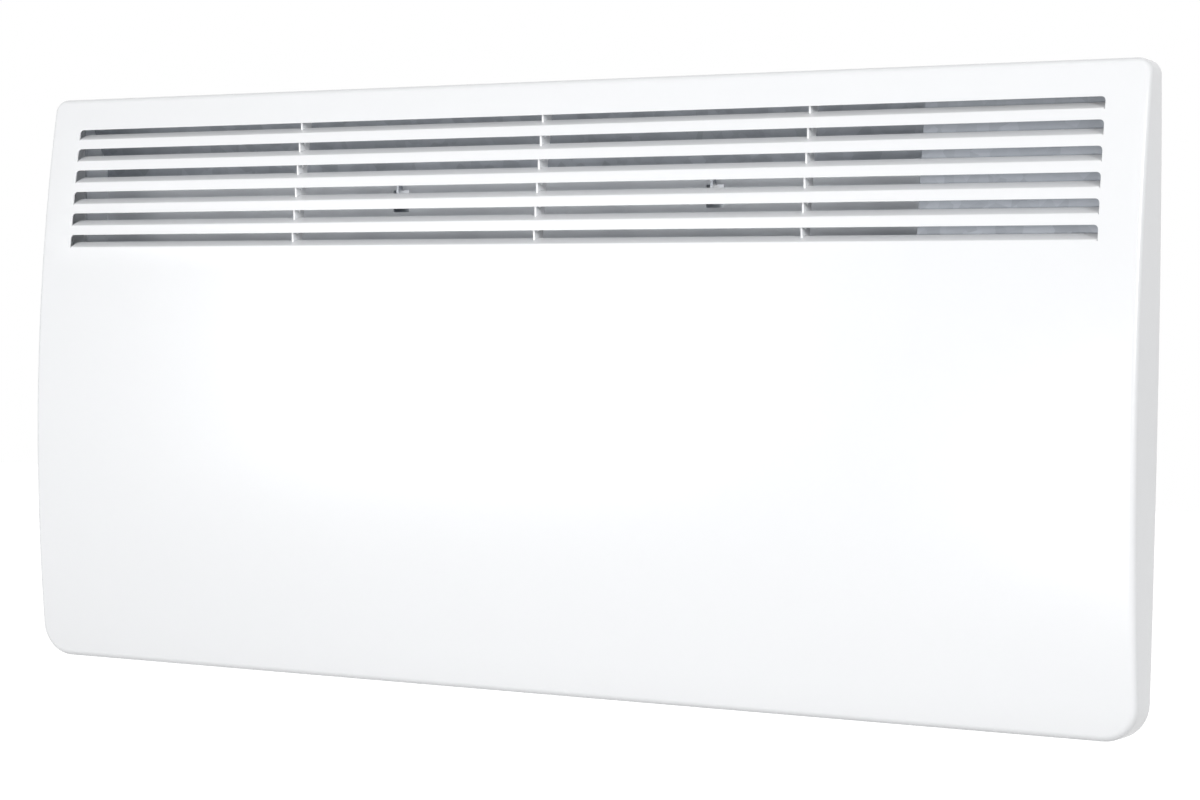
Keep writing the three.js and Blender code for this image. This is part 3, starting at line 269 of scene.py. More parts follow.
powder_coat("white_enamel", (0.93, 0.94, 0.955), roughness=0.24, ripple=620, depth=0.03 * MM)
powder_coat("casing_enamel", (0.83, 0.855, 0.89), roughness=0.38, ripple=900, depth=0.04 * MM)
print("finishes:", ", ".join(FINISHES))

# %% [markdown]
# The wall bracket and the screws are zinc plated. Bright zinc is bluish and has fine rolling lines of the
# steel under it, with a faint straw or violet passivation here and there. The deflector, the partition and
# the small brackets are cut from galvanised sheet, which is darker and duller and shows the flat crystals of
# its zinc, called spangle. The element and its shield are mill-finish aluminium, with lines along the sheet.

# %% Finish: metals
def plated_steel(name, color, lines):
    made = Finish(name, color, 0.36, Metallic=1)
    made.tint(made.noise(scale=35) > 0.56, shaded(color, 1, 0.95, 0.84), share=0.35)
    made.tint(made.noise(scale=14, detail=2), shaded(color, 0.86, 0.9, 1), share=0.25)
    rolled = made.noise(scale=1, detail=2, stretch=lines)
    made.roughen(rolled, 0.26, 0.48)
    made.bump(rolled, 0.01 * MM)


def bare_metal(name, color, roughness, lines, stain):
    made = Finish(name, color, roughness, Metallic=1)
    made.tint(made.noise(scale=30, detail=4), stain, share=0.6)
    made.roughen(made.noise(scale=1, stretch=lines), roughness - 0.1, roughness + 0.15)
    made.bump(made.noise(scale=1, detail=2, stretch=lines), 0.02 * MM)


def galvanised(name, color, spangle):
    made = Finish(name, color, 0.55, Metallic=0.35)
    crystals = made.node("ShaderNodeTexVoronoi", {}, {"Vector": made.place(), "Scale": 1 / spangle}, "Color")
    tone = made.node("ShaderNodeSeparateColor", {}, {"Color": crystals}, "Red")
    made.tint(tone, shaded(color, 0.72), share=0.5)
    made.tint(made.noise(scale=50, detail=4), shaded(color, 1.15), share=0.3)
    made.roughen(tone, 0.45, 0.65)
    made.bump(made.noise(scale=800, detail=2), 0.01 * MM)


plated_steel("zinc_steel", (0.60, 0.62, 0.65), lines=(40, 40, 900))
galvanised("galvanised_steel", (0.42, 0.445, 0.485), spangle=9 * MM)
for name, color, roughness, lines, stain in (
        ("bright_aluminium", (0.78, 0.79, 0.80), 0.32, (6, 900, 900), (0.66, 0.67, 0.69)),
        ("sheath_steel", (0.22, 0.19, 0.16), 0.45, (30, 500, 500), (0.30, 0.24, 0.30)),
        ("brass", (0.62, 0.42, 0.14), 0.3, (300, 300, 300), (0.45, 0.28, 0.10)),
        ("copper", (0.62, 0.28, 0.14), 0.3, (300, 300, 300), (0.42, 0.18, 0.10))):
    bare_metal(name, color, roughness, lines, stain)
print("finishes:", ", ".join(FINISHES))

# %% [markdown]
# The knob, the rocker, the recess and the small housings are moulded. A mould that was eroded by sparks
# leaves an even fine grain on the plastic. Unglazed ceramic is chalky with small dark specks, and the sleeves
# on the leads are braided from glass thread.

# %% Finish: mouldings, ceramic and sleeves
def moulded(name, color, roughness, grain=1400, depth=0.04 * MM):
    made = Finish(name, color, roughness, IOR=1.46)
    made.tint(made.noise(scale=25), shaded(color, 0.9), share=0.4)
    made.roughen(made.noise(scale=300, detail=2), roughness - 0.06, roughness + 0.06)
    made.bump(made.noise(scale=grain, detail=2), depth)


def fired_clay(name, color, specks):
    made = Finish(name, color, 0.7)
    made.tint(made.noise(scale=1500, detail=2) > 0.68, specks, share=0.7)
    made.tint(made.noise(scale=60), shaded(color, 0.88), share=0.4)
    made.bump(made.noise(scale=2600), 0.06 * MM)


def braided_sleeve(name, color, threads):
    made = Finish(name, color, 0.75)
    warp, weft = (
        made.node("ShaderNodeTexWave", {"bands_direction": "DIAGONAL"},
                  {"Vector": made.place((side, 1, 1)), "Scale": threads}, "Fac")
        for side in (1, -1))
    braid = warp * weft
    made.tint(1 - braid, shaded(color, 0.6), share=1)
    made.bump(braid, 0.2 * MM)


moulded("white_plastic", (0.83, 0.84, 0.86), roughness=0.36)
moulded("grey_plastic", (0.105, 0.115, 0.13), roughness=0.5)
moulded("black_plastic", (0.012, 0.012, 0.014), roughness=0.42)
moulded("red_lens", (0.58, 0.02, 0.012), roughness=0.12, grain=200, depth=0.01 * MM)
fired_clay("steatite", (0.80, 0.76, 0.68), specks=(0.35, 0.31, 0.26))
braided_sleeve("lead_sleeve", (0.55, 0.50, 0.42), threads=500)
print("finishes:", ", ".join(FINISHES))

# %% [markdown]
# The record already says which finish each node takes, by the name of its slot. So every node of the frame is
# dressed from the record in one loop, and the pieces made below only replace those whose form gains from it.

# %% Dress the nodes of the frame
slot_of = {row["node"]: row["material_slot"] for row in frame["record"]["subparts"]}


def coat(piece, node):
    piece.data.materials.clear()
    piece.data.materials.append(FINISHES[slot_of[node]])


for name, node in nodes.items():
    coat(node, name)
print("dressed", len(slot_of), "nodes in", len(FINISHES), "finishes")

# %% [markdown]
# Every piece below is modelled as by hand: a primitive at its size and place, shaped in edit mode. A few
# helpers keep that short. `block` adds a box between two corners, `editing` opens a piece in edit mode, and
# `pick` selects faces, edges or vertices by a test on their middle, as a careful click would.

# %% Modelling helpers
NEAR = 0.01 * MM
MERGED = 0.001 * MM
STRAIGHT = 0.999
OVERCUT = 1 * MM


def way(axis):
    """The unit step along X, Y or Z, counted 0, 1 and 2."""
    return Vector([float(i == axis) for i in range(3)])


def choose(piece):
    bpy.ops.object.select_all(action="DESELECT")
    piece.select_set(True)
    bpy.context.view_layer.objects.active = piece


@contextmanager
def editing(piece):
    choose(piece)
    bpy.ops.object.mode_set(mode="EDIT")
    yield piece
    bpy.ops.object.mode_set(mode="OBJECT")


def pick(kind, test):
    """Selects the verts, edges or faces that pass a test on the item and its middle, and counts them."""
    bpy.ops.mesh.select_mode(type=kind.upper()[:-1])
    bpy.ops.mesh.select_all(action="DESELECT")
    mesh = bmesh.from_edit_mesh(bpy.context.object.data)
    picked = 0
    for item in getattr(mesh, kind):
        corners = [item] if kind == "verts" else item.verts
        if test(item, sum((v.co for v in corners), Vector()) / len(corners)):
            item.select_set(True)
            picked += 1
    mesh.select_flush_mode()
    bmesh.update_edit_mesh(bpy.context.object.data)
    return picked


def within(item, axis, value):
    """All corners of a face or an edge lie at one coordinate."""
    return all(abs(v.co[axis] - value) < NEAR for v in item.verts)


def runs_along(edge, axis):
    step = (edge.verts[1].co - edge.verts[0].co).normalized()
    return abs(step[axis]) > STRAIGHT


def settled(name):
    """Names the piece that was just added, and applies its place, turn and size to its mesh."""
    piece = bpy.context.object
    piece.name = name
    choose(piece)
    bpy.ops.object.transform_apply(location=True, rotation=True, scale=True)
    return piece


def block(name, low, high):
    low, high = Vector(low), Vector(high)
    bpy.ops.object.select_all(action="DESELECT")
    bpy.ops.mesh.primitive_cube_add(size=1, location=(low + high) / 2, scale=high - low)
    return settled(name)


def standing_block(name, spot, half, low, high):
    """A block that reaches half its size to each side of a spot, between two heights."""
    return block(name, Vector((spot.x, spot.y, low)) - half, Vector((spot.x, spot.y, high)) + half)


def drum(name, radius, low, high, axis, segments=32):
    """A cylinder between two points that differ along one axis."""
    low, high = Vector(low), Vector(high)
    turn = {1: (math.pi / 2, 0, 0), 2: (0, 0, 0)}[axis]
    bpy.ops.object.select_all(action="DESELECT")
    bpy.ops.mesh.primitive_cylinder_add(
        vertices=segments, radius=radius, depth=(high - low).length, location=(low + high) / 2, rotation=turn)
    return settled(name)


def even(width):
    """A margin of one width on all four sides of a standing block."""
    return Vector((width, width, 0))


def standing_drum(name, radius, spot, low, high, segments=32):
    return drum(name, radius, (spot.x, spot.y, low), (spot.x, spot.y, high), 2, segments)


def round_edges(piece, radius, steps, test):
    with editing(piece):
        if pick("edges", test):
            bpy.ops.mesh.bevel(offset=radius, offset_type="OFFSET", segments=steps, affect="EDGES")
    return piece


def pick_all():
    bpy.ops.mesh.select_all(action="SELECT")


def move(step):
    bpy.ops.transform.translate(value=step)


def extrude(step):
    bpy.ops.mesh.extrude_region_move(TRANSFORM_OT_translate={"value": step})


def close_mesh():
    """In edit mode, merges doubled points and turns all faces outwards."""
    pick_all()
    bpy.ops.mesh.remove_doubles(threshold=MERGED)
    bpy.ops.mesh.normals_make_consistent(inside=False)


def slice_at(axis, value):
    """Slices the whole mesh in edit mode, square to an axis."""
    pick_all()
    bpy.ops.mesh.bisect(plane_co=way(axis) * value, plane_no=way(axis))


def modify(piece, kind, **settings):
    modifier = piece.modifiers.new(kind.lower(), kind)
    for setting, value in settings.items():
        setattr(modifier, setting, value)
    return modifier


def use(piece, kind, **settings):
    """Adds a modifier with these settings and applies it."""
    modifier = modify(piece, kind, **settings)
    choose(piece)
    bpy.ops.object.modifier_apply(modifier=modifier.name)
    return piece


def copy_of(piece, shift=(0, 0, 0)):
    twin = piece.copy()
    twin.data = piece.data.copy()
    bpy.context.scene.collection.objects.link(twin)
    twin.data.transform(Matrix.Translation(shift))
    return twin


def combine(piece, others, operation):
    """Cuts the other pieces out of this one, or fuses them with it, and removes them."""
    choose(others[0])
    for other in others:
        other.select_set(True)
    bpy.ops.object.join()
    use(piece, "BOOLEAN", operation=operation, object=others[0], solver="EXACT")
    bpy.data.objects.remove(others[0])
    return piece


def dress(piece, node, body="heater", angle=30):
    """Closes, smooths and finishes a piece, and lets it ride on its body in its node's stead."""
    with editing(piece):
        close_mesh()
    bpy.ops.object.shade_smooth_by_angle(angle=math.radians(angle))
    coat(piece, node)
    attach(piece, body)
    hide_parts(node)
    print(piece.name, "stands for", node, "with", len(piece.data.polygons), "faces")


print("modelling helpers ready")

# %% [markdown]
# The front cover is the piece that makes this heater: one sheet of steel, pressed into a shallow pan whose
# front swells gently towards mid height. It starts as a plain block. Its corners are bevelled first, then the
# edge round the front, because a bevel runs cleanly only while the faces beside it are whole.

# %% Front cover: the pan
EDGE_DEPTH = 26.8 * MM
BOW = 17 * MM
COVER_SHEET = 1 * MM
TOP_CORNER = 10 * MM
BOTTOM_CORNER = 24 * MM
FRONT_FILLET = 4.5 * MM
LIP = 12.7 * MM
half_height = cover_height / 2
edge_y = rim_y - EDGE_DEPTH

cover = block("front_cover", (cover_low.x, edge_y, cover_low.z), (cover_high.x, rim_y, cover_high.z))
round_edges(cover, TOP_CORNER, 8, lambda e, p: runs_along(e, 1) and p.z > cover_middle)
round_edges(cover, BOTTOM_CORNER, 10, lambda e, p: runs_along(e, 1) and p.z < cover_low.z + NEAR)
round_edges(cover, FRONT_FILLET, 8, lambda e, p: within(e, 1, edge_y))
with editing(cover):
    pick("faces", lambda f, p: within(f, 1, rim_y))
    bpy.ops.mesh.inset(thickness=LIP)
    bpy.ops.mesh.delete(type="FACE")
print("pan:", len(cover.data.vertices), "points")

# %% [markdown]
# The swell follows a parabola from the top edge to the bottom edge. The pan is sliced into level bands with
# bisect, closer together where the louvres come, and each row of points is pushed forward by what the
# parabola gives at its height. The rear rim isn't quite upright either: towards the top and, less, the bottom
# it lies nearer to the front, as the photo shows.

# %% Front cover: the swell
SLOT_COUNT = 6
SLOT_PITCH = 17 * MM
SLOT_HEIGHT = 9.6 * MM
FIRST_SLOT_DROP = 23 * MM
FIRST_SLOT_TRIM = 1.9 * MM
BAND_COUNT = 26
RIM_LEAN_TOP = 7.5 * MM
RIM_LEAN_BOTTOM = 3.5 * MM
slot_tops = [cover_high.z - FIRST_SLOT_DROP - i * SLOT_PITCH for i in range(SLOT_COUNT)]
slot_bottoms = [top - SLOT_HEIGHT for top in slot_tops]
slot_tops[0] -= FIRST_SLOT_TRIM


def swell(z):
    return BOW * (1 - ((z - cover_middle) / half_height) ** 2)


def rim_lean(z):
    """How far the rear rim lies in front of its middle at a height."""
    share = (z - cover_middle) / half_height
    return (RIM_LEAN_TOP if share > 0 else RIM_LEAN_BOTTOM) * share ** 2


def level(place):
    """The row that a point belongs to, as its height to a hundredth of a millimetre."""
    return round(place.z, 5)


def move_rows(test, reach):
    """In edit mode, moves each row's points that pass the test forward by the reach at that height."""
    rows = sorted({level(v.co) for v in bmesh.from_edit_mesh(bpy.context.object.data).verts})
    for z in rows:
        if pick("verts", lambda v, p: level(p) == z and test(p)):
            move((0, -reach(z), 0))
    return len(rows)


bands_end = slot_bottoms[-1] - SLOT_PITCH
bands = [cover_low.z + (bands_end - cover_low.z) * i / BAND_COUNT for i in range(1, BAND_COUNT + 1)]
bands += slot_tops + slot_bottoms
with editing(cover):
    for z in bands:
        slice_at(2, z)
    move_rows(lambda p: p.y < rim_y - EDGE_DEPTH / 3, swell)
    row_count = move_rows(lambda p: p.y > rim_y - NEAR, rim_lean)
use(cover, "SOLIDIFY", thickness=COVER_SHEET, offset=-1, use_even_offset=True)
print("bands:", len(bands), "rows:", row_count, "points with the thickness:", len(cover.data.vertices))

# %% [markdown]
# The press cuts each louvre on three sides and folds the tongue inwards. So the slots are cut first, with the
# round corners of the punch, together with the air inlets in the lower edge, the screw holes in the rear lip
# and the notch for the controls. Their places come from the same few sizes as the frame's own cuts.

# %% Front cover: slots, inlets and holes
SLOT_MARGIN = 29 * MM
SLOT_CORNER = 3 * MM
SLOT_CUT = 6 * MM
BLADE_RISE = math.radians(28)
FOLD_RADIUS = 1.4 * MM
INLET_PITCH = 52 * MM
INLET_LENGTH = 40 * MM
INLET_WIDTH = 8 * MM
INLET_SETBACK = 10.4 * MM
HOLE_RADIUS = 2.3 * MM
HOLE_CUT = 3 * MM
HALF_ROUND_REST = 0.02 * MM
CLEARANCE = 0.3 * MM
SCREWS = [f"cover_screw_{i}" for i in range(1, 9)]
slot_half = cover_high.x - SLOT_MARGIN


def middle_of(node):
    low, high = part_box(node)
    return (low + high) / 2


def lean(z):
    """How far the front leans back at a height, as an angle from upright."""
    return math.atan(2 * BOW * (z - cover_middle) / half_height ** 2)


def fold_reach(z):
    """From the corner that a sharp fold would have to where the bend starts."""
    return FOLD_RADIUS * math.tan((math.pi / 2 - BLADE_RISE - lean(z)) / 2)


def slot_cutter(top, bottom):
    y = edge_y - swell(top)
    cutter = block("slot", (-slot_half, y - SLOT_CUT, bottom - fold_reach(bottom)),
                   (slot_half, y + SLOT_CUT, top))
    return round_edges(cutter, SLOT_CORNER, 5, lambda e, p: runs_along(e, 1) and abs(p.z - top) < NEAR)


def inlet_cutters(y, low, high):
    half = Vector((INLET_LENGTH / 2, INLET_WIDTH / 2, 0))
    cutters = [standing_block("inlet", Vector((x, y, 0)), half, low, high) for x in inlet_spots]
    return [round_edges(cutter, INLET_WIDTH / 2 - HALF_ROUND_REST, 6, lambda e, p: runs_along(e, 2))
            for cutter in cutters]


def hole_cutter(node, radius, y):
    """A cutter through the sheet at one depth, in line with a node."""
    spot = middle_of(node)
    return drum("hole", radius, (spot.x, y - HOLE_CUT, spot.z), (spot.x, y + HOLE_CUT, spot.z), 1, 24)


def notch_cutter(front, back):
    """A cutter that makes room for the controls' recess between two depths."""
    return block("notch", (well_low.x - CLEARANCE, front, well_low.z - CLEARANCE),
                 (well_high.x + CLEARANCE, back, cover_high.z + OVERCUT))


chamber_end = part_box("control_partition")[0].x
inner_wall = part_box("air_deflector")[0].x - CLEARANCE
inlet_count = int((chamber_end - inner_wall - INLET_LENGTH) // INLET_PITCH)
inlet_spots = [
    (chamber_end + inner_wall) / 2 + (i - (inlet_count - 1) / 2) * INLET_PITCH for i in range(inlet_count)]
well_low, well_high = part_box("control_well")

cutters = [slot_cutter(top, bottom) for top, bottom in zip(slot_tops, slot_bottoms)]
cutters += inlet_cutters(rim_y - INLET_SETBACK, cover_low.z - 2 * COVER_SHEET, cover_low.z + 2 * COVER_SHEET)
cutters += [hole_cutter(node, HOLE_RADIUS, rim_y - rim_lean(middle_of(node).z)) for node in SCREWS]
cutters.append(notch_cutter(well_low.y - CLEARANCE, rim_y + OVERCUT))
combine(cover, cutters, "DIFFERENCE")
print("slots:", SLOT_COUNT, "inlets:", inlet_count, "screw holes:", len(SCREWS))

# %% [markdown]
# Each tongue is bent from the lower edge of its slot. A spin draws the bend: one edge of a narrow strip turns
# about a line behind the sheet until it points inwards and up. An extrusion adds the flat of the blade, the
# free corners are rounded like the punch, and Solidify gives it the thickness of the sheet. A short root of
# each blade lies in the sheet under its slot, so that a union makes one body of the cover and its blades.

# %% Front cover: the folded blades
BLADE_END_GAP = 0.5 * MM
BLADE_STRIP = 1 * MM
BLADE_ROOT = 0.4 * MM


def folded_blade(z):
    tilt = lean(z)
    turn = math.pi / 2 - BLADE_RISE - tilt
    up_sheet = Vector((0, math.sin(tilt), math.cos(tilt)))
    into_room = Vector((0, -math.cos(tilt), math.sin(tilt)))
    along_blade = Vector((0, math.cos(BLADE_RISE), math.sin(BLADE_RISE)))
    start = Vector((0, edge_y - swell(z), z)) - up_sheet * fold_reach(z)
    bpy.ops.object.select_all(action="DESELECT")
    bpy.ops.mesh.primitive_plane_add(
        size=1, location=start - up_sheet * BLADE_STRIP / 2, rotation=(math.pi / 2 - tilt, 0, 0))
    bpy.context.object.scale = (2 * (slot_half - BLADE_END_GAP), BLADE_STRIP, 1)
    blade = settled("blade")
    with editing(blade):
        root_z = min(v.co.z for v in bmesh.from_edit_mesh(blade.data).verts)
        pick("edges", lambda e, p: runs_along(e, 0) and p.z > root_z + BLADE_STRIP / 2)
        bpy.ops.mesh.spin(
            steps=6, angle=turn, center=start - into_room * FOLD_RADIUS, axis=(1, 0, 0), use_auto_merge=False)
        extrude(along_blade * (SLOT_HEIGHT - fold_reach(z)))
        pick("edges", lambda e, p: runs_along(e, 0) and p.z < root_z + NEAR)
        move(up_sheet * (BLADE_STRIP - BLADE_ROOT))
        tip_y = max(v.co.y for v in bmesh.from_edit_mesh(blade.data).verts)
        pick("verts", lambda v, p: p.y > tip_y - NEAR)
        bpy.ops.mesh.bevel(offset=SLOT_CORNER, segments=5, affect="VERTICES")
        close_mesh()
    if blade.data.polygons[0].normal.y > 0:
        blade.data.flip_normals()
    return use(blade, "SOLIDIFY", thickness=COVER_SHEET, offset=-1)


blades = [folded_blade(z) for z in slot_bottoms]
print("blades:", len(blades), "of", len(blades[0].data.polygons), "faces")
for blade in blades:
    combine(cover, [blade], "UNION")
dress(cover, "front_panel")

# %% [markdown]
# Round pieces are turned. The half outline is drawn point by point: a tiny plane is merged into one vertex,
# the vertex is extruded from corner to corner, and a spin carries the line round the axis. Sharp corners of
# the line are first swapped for short curves.

# %% Turning helper
SEED = 1 * MM
CORNER_STEPS = 3
CORNER_SHARE = 0.4


def softened(line, reach):
    """The line with each inner corner swapped for a short curve that starts at most that far from it."""
    made = [line[0]]
    for before, corner, after in zip(line, line[1:], line[2:]):
        before, corner, after = Vector(before), Vector(corner), Vector(after)
        ends = [corner + (end - corner).normalized() * min(reach, (end - corner).length * CORNER_SHARE)
                for end in (before, after)]
        for i in range(CORNER_STEPS + 1):
            t = i / CORNER_STEPS
            made.append(tuple(ends[0] * (1 - t) ** 2 + corner * 2 * t * (1 - t) + ends[1] * t ** 2))
    return made + [line[-1]]


def turned(name, profile, centre, axis=2, soften=0, steps=40):
    """A solid of revolution from (radius, height) pairs round the Y or Z axis through the centre."""
    line = softened(profile, soften) if soften else profile
    places = [Vector(centre) + way(0) * radius + way(axis) * height for radius, height in line]
    bpy.ops.object.select_all(action="DESELECT")
    bpy.ops.mesh.primitive_plane_add(size=SEED, location=places[0])
    piece = settled(name)
    with editing(piece):
        bpy.ops.mesh.select_mode(type="VERT")
        pick_all()
        bpy.ops.mesh.merge(type="CENTER")
        for here, after in zip(places, places[1:]):
            extrude(after - here)
        pick_all()
        bpy.ops.mesh.spin(steps=steps, angle=2 * math.pi, center=centre, axis=way(axis))
        close_mesh()
    return piece


print("turning helper ready")

# %% [markdown]
# The rear casing is a shallow tray with an outward flange, drawn from one sheet. The outer form and the
# flange are fused, then the cavity is taken out, so that the walls keep the thickness of the sheet. Every
# fold has a small radius, as a press leaves it. The cover's lip is screwed on the flange from behind, and the
# flange is sliced and moved like the lip, so that it follows it.

# %% Rear casing: the tray and its flange
CASING_SHEET = 1.2 * MM
CASING_INSET = 13 * MM
CASING_BACK = -12 * MM
CASING_BEND = 1.8 * MM
CASING_CORNER = 4 * MM
casing_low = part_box("rear_casing")[0]
casing_floor = CASING_BACK - CASING_SHEET
flange_back = casing_low.y + CASING_SHEET


def outline_block(name, inset, front, back, bend=0):
    """A block with the cover's outline less an inset, and with a bend round its back face."""
    made = block(name, (cover_low.x + inset, front, cover_low.z + inset),
                 (cover_high.x - inset, back, cover_high.z - inset))
    for corner, edge_z in ((max(TOP_CORNER - inset, CASING_CORNER), cover_high.z - inset),
                           (BOTTOM_CORNER - inset, cover_low.z + inset)):
        round_edges(made, corner, 6, lambda e, p: runs_along(e, 1) and abs(p.z - edge_z) < NEAR)
    if bend:
        round_edges(made, bend, 4, lambda e, p: within(e, 1, back))
    return made


casing = outline_block("casing_tray", CASING_INSET, casing_low.y, CASING_BACK, CASING_BEND)
flange = outline_block("flange", casing_low.x - cover_low.x, casing_low.y, flange_back)
combine(casing, [flange], "UNION")
cavity = outline_block("cavity", CASING_INSET + CASING_SHEET, casing_low.y - OVERCUT, casing_floor,
                       CASING_BEND - CASING_SHEET)
combine(casing, [cavity], "DIFFERENCE")
with editing(casing):
    for z in bands:
        slice_at(2, z)
    move_rows(lambda p: p.y < flange_back + NEAR, rim_lean)
    pick_all()
    bpy.ops.mesh.vert_connect_nonplanar(angle_limit=math.radians(0.1))
print("tray:", len(casing.data.polygons), "faces")

# %% [markdown]
# A turret punch then opens the tray: two slots for the bracket's hooks, a row of inlets in line with the
# cord's hole in the lower wall, holes for screws and wall spacers, and the controls' notch.

# %% Rear casing: the openings
HOOK_SLOT_WIDTH = 14 * MM
HOOK_SLOT_LOW = -16.3 * MM
HOOK_X = (-153 * MM, 114.5 * MM)
SPACER_HOLE = 3.3 * MM
GLAND_HOLE = 7.3 * MM
BRACKET_SCREWS = [f"bracket_screw_{i}" for i in range(1, 5)]
SPACERS = ("wall_spacer_1", "wall_spacer_2")
gland_spot = middle_of("cable_gland")
casing_bottom = cover_low.z + CASING_INSET
wall_cut = (casing_bottom - OVERCUT, casing_bottom + CASING_SHEET + OVERCUT)

cutters = [block("hook slot", (x - HOOK_SLOT_WIDTH / 2, casing_floor - OVERCUT, HOOK_SLOT_LOW),
                 (x + HOOK_SLOT_WIDTH / 2, CASING_BACK + OVERCUT, CLEARANCE)) for x in HOOK_X]
cutters += inlet_cutters(gland_spot.y, *wall_cut)
cutters += [hole_cutter(node, HOLE_RADIUS, casing_low.y - rim_lean(middle_of(node).z)) for node in SCREWS]
cutters += [hole_cutter(node, HOLE_RADIUS, CASING_BACK) for node in BRACKET_SCREWS]
cutters += [hole_cutter(node, SPACER_HOLE, CASING_BACK) for node in SPACERS]
cutters.append(standing_drum("cord hole", GLAND_HOLE, gland_spot, *wall_cut))
cutters.append(notch_cutter(casing_low.y - RIM_LEAN_TOP - OVERCUT, casing_floor - CLEARANCE))
combine(casing, cutters, "DIFFERENCE")
dress(casing, "rear_casing")

# %% [markdown]
# The wall bracket is folded from one zinc-plated sheet. A channel gives its side flanges and their bends, a
# plate adds the ears above and below them, and the window, the screw slots and the lances are punched out.

# %% Wall bracket: the frame
BRACKET_SHEET = 1.5 * MM
BRACKET_RAIL = 34 * MM
BRACKET_BEND = 2.2 * MM
BRACKET_CORNER = 5 * MM
WINDOW_CORNER = 8 * MM
FLANGE_END = 6 * MM
SHOULDER = CASING_BACK + CLEARANCE
WALL_SLOT_HALF = (6 * MM, 3 * MM)
WALL_SLOT_SPREAD = 95 * MM
HOOK_THICKNESS = 2 * MM
HOOK_NECK = 5 * MM
HORN_RISE = 10 * MM
LANCE_WIDTH = 12 * MM
bracket_low, bracket_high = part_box("wall_bracket")
bracket_middle = (bracket_low.x + bracket_high.x) / 2

bracket = block("bracket_frame", (bracket_low.x, SHOULDER, bracket_low.z + FLANGE_END),
                (bracket_high.x, 0, bracket_high.z - FLANGE_END))
round_edges(bracket, BRACKET_BEND, 5, lambda e, p: runs_along(e, 2) and p.y > -NEAR)
hollow = block("hollow", (bracket_low.x + BRACKET_SHEET, SHOULDER - OVERCUT, bracket_low.z),
               (bracket_high.x - BRACKET_SHEET, -BRACKET_SHEET, bracket_high.z))
round_edges(hollow, BRACKET_BEND - BRACKET_SHEET, 4,
            lambda e, p: runs_along(e, 2) and p.y > -BRACKET_SHEET - NEAR)
combine(bracket, [hollow], "DIFFERENCE")
plate = block("plate", (bracket_low.x + BRACKET_BEND, -BRACKET_SHEET, bracket_low.z),
              (bracket_high.x - BRACKET_BEND, 0, bracket_high.z))
round_edges(plate, BRACKET_CORNER, 6, lambda e, p: runs_along(e, 1))
combine(bracket, [plate], "UNION")


def punch(name, x_span, z_span, corner=0, steps=6):
    """A cutter through the bracket's plate, with round corners."""
    made = block(name, (x_span[0], -2 * BRACKET_SHEET, z_span[0]), (x_span[1], OVERCUT, z_span[1]))
    return round_edges(made, corner, steps, lambda e, p: runs_along(e, 1)) if corner else made


half_x, half_z = WALL_SLOT_HALF
punches = [punch("window", (bracket_low.x + BRACKET_RAIL, bracket_high.x - BRACKET_RAIL),
                 (bracket_low.z + BRACKET_RAIL, bracket_high.z - BRACKET_RAIL), WINDOW_CORNER)]
for x in (bracket_middle - WALL_SLOT_SPREAD, bracket_middle + WALL_SLOT_SPREAD):
    for z in (bracket_low.z + BRACKET_RAIL / 2, bracket_high.z - BRACKET_RAIL / 2):
        punches.append(punch("wall slot", (x - half_x, x + half_x), (z - half_z, z + half_z),
                             half_z - HALF_ROUND_REST, steps=8))
for x in (x + HOOK_THICKNESS / 2 for x in HOOK_X):
    punches.append(punch("lance", (x, x + LANCE_WIDTH), (-HOOK_NECK, HORN_RISE)))
combine(bracket, punches, "DIFFERENCE")
print("bracket plate:", len(bracket.data.polygons), "faces")

# %% [markdown]
# Each hook is the tongue that was cut free at its lance and turned on edge, with a notch for the casing's
# back plate. A bar is sliced at both sides of the notch, and its ends are extruded upwards: the horn in
# front, and the neck that slopes up towards the plate behind.

# %% Wall bracket: the hooks
HORN_THICKNESS = 5 * MM
HORN_ROUND = 3 * MM
HOOK_ROUND = 1 * MM
HORN_BACK = casing_floor - CLEARANCE


def hook(x):
    tip = HORN_BACK - HORN_THICKNESS
    made = block("hook", (x - HOOK_THICKNESS / 2, tip, -HOOK_NECK),
                 (x + HOOK_THICKNESS / 2, -BRACKET_SHEET / 2, 0))
    with editing(made):
        slice_at(1, HORN_BACK)
        slice_at(1, SHOULDER)
        pick("faces", lambda f, p: within(f, 2, 0) and p.y < HORN_BACK)
        extrude(way(2) * HORN_RISE)
        pick("faces", lambda f, p: within(f, 2, 0) and p.y > SHOULDER)
        extrude(way(2) * HORN_RISE / 2)
        pick("verts", lambda v, p: p.z > HORN_RISE / 2 - NEAR and p.y > -BRACKET_SHEET)
        move(way(2) * HORN_RISE / 2)
    round_edges(made, HORN_ROUND, 5, lambda e, p: (
        runs_along(e, 0) and p.y < tip + NEAR and p.z > HORN_RISE - NEAR))
    return round_edges(made, HOOK_ROUND, 4, lambda e, p: runs_along(e, 0) and (
        p.y < tip + NEAR and p.z < NEAR - HOOK_NECK
        or abs(p.y - HORN_BACK) < NEAR and p.z > HORN_RISE - NEAR))


combine(bracket, [hook(x) for x in HOOK_X], "UNION")
dress(bracket, "wall_bracket", body="wall_bracket")

# %% [markdown]
# Two plastic feet keep the lower edge off the wall. Each is turned in one go: a broad pad against the wall, a
# stem through the casing's back plate, and a barb that snapped in behind it.

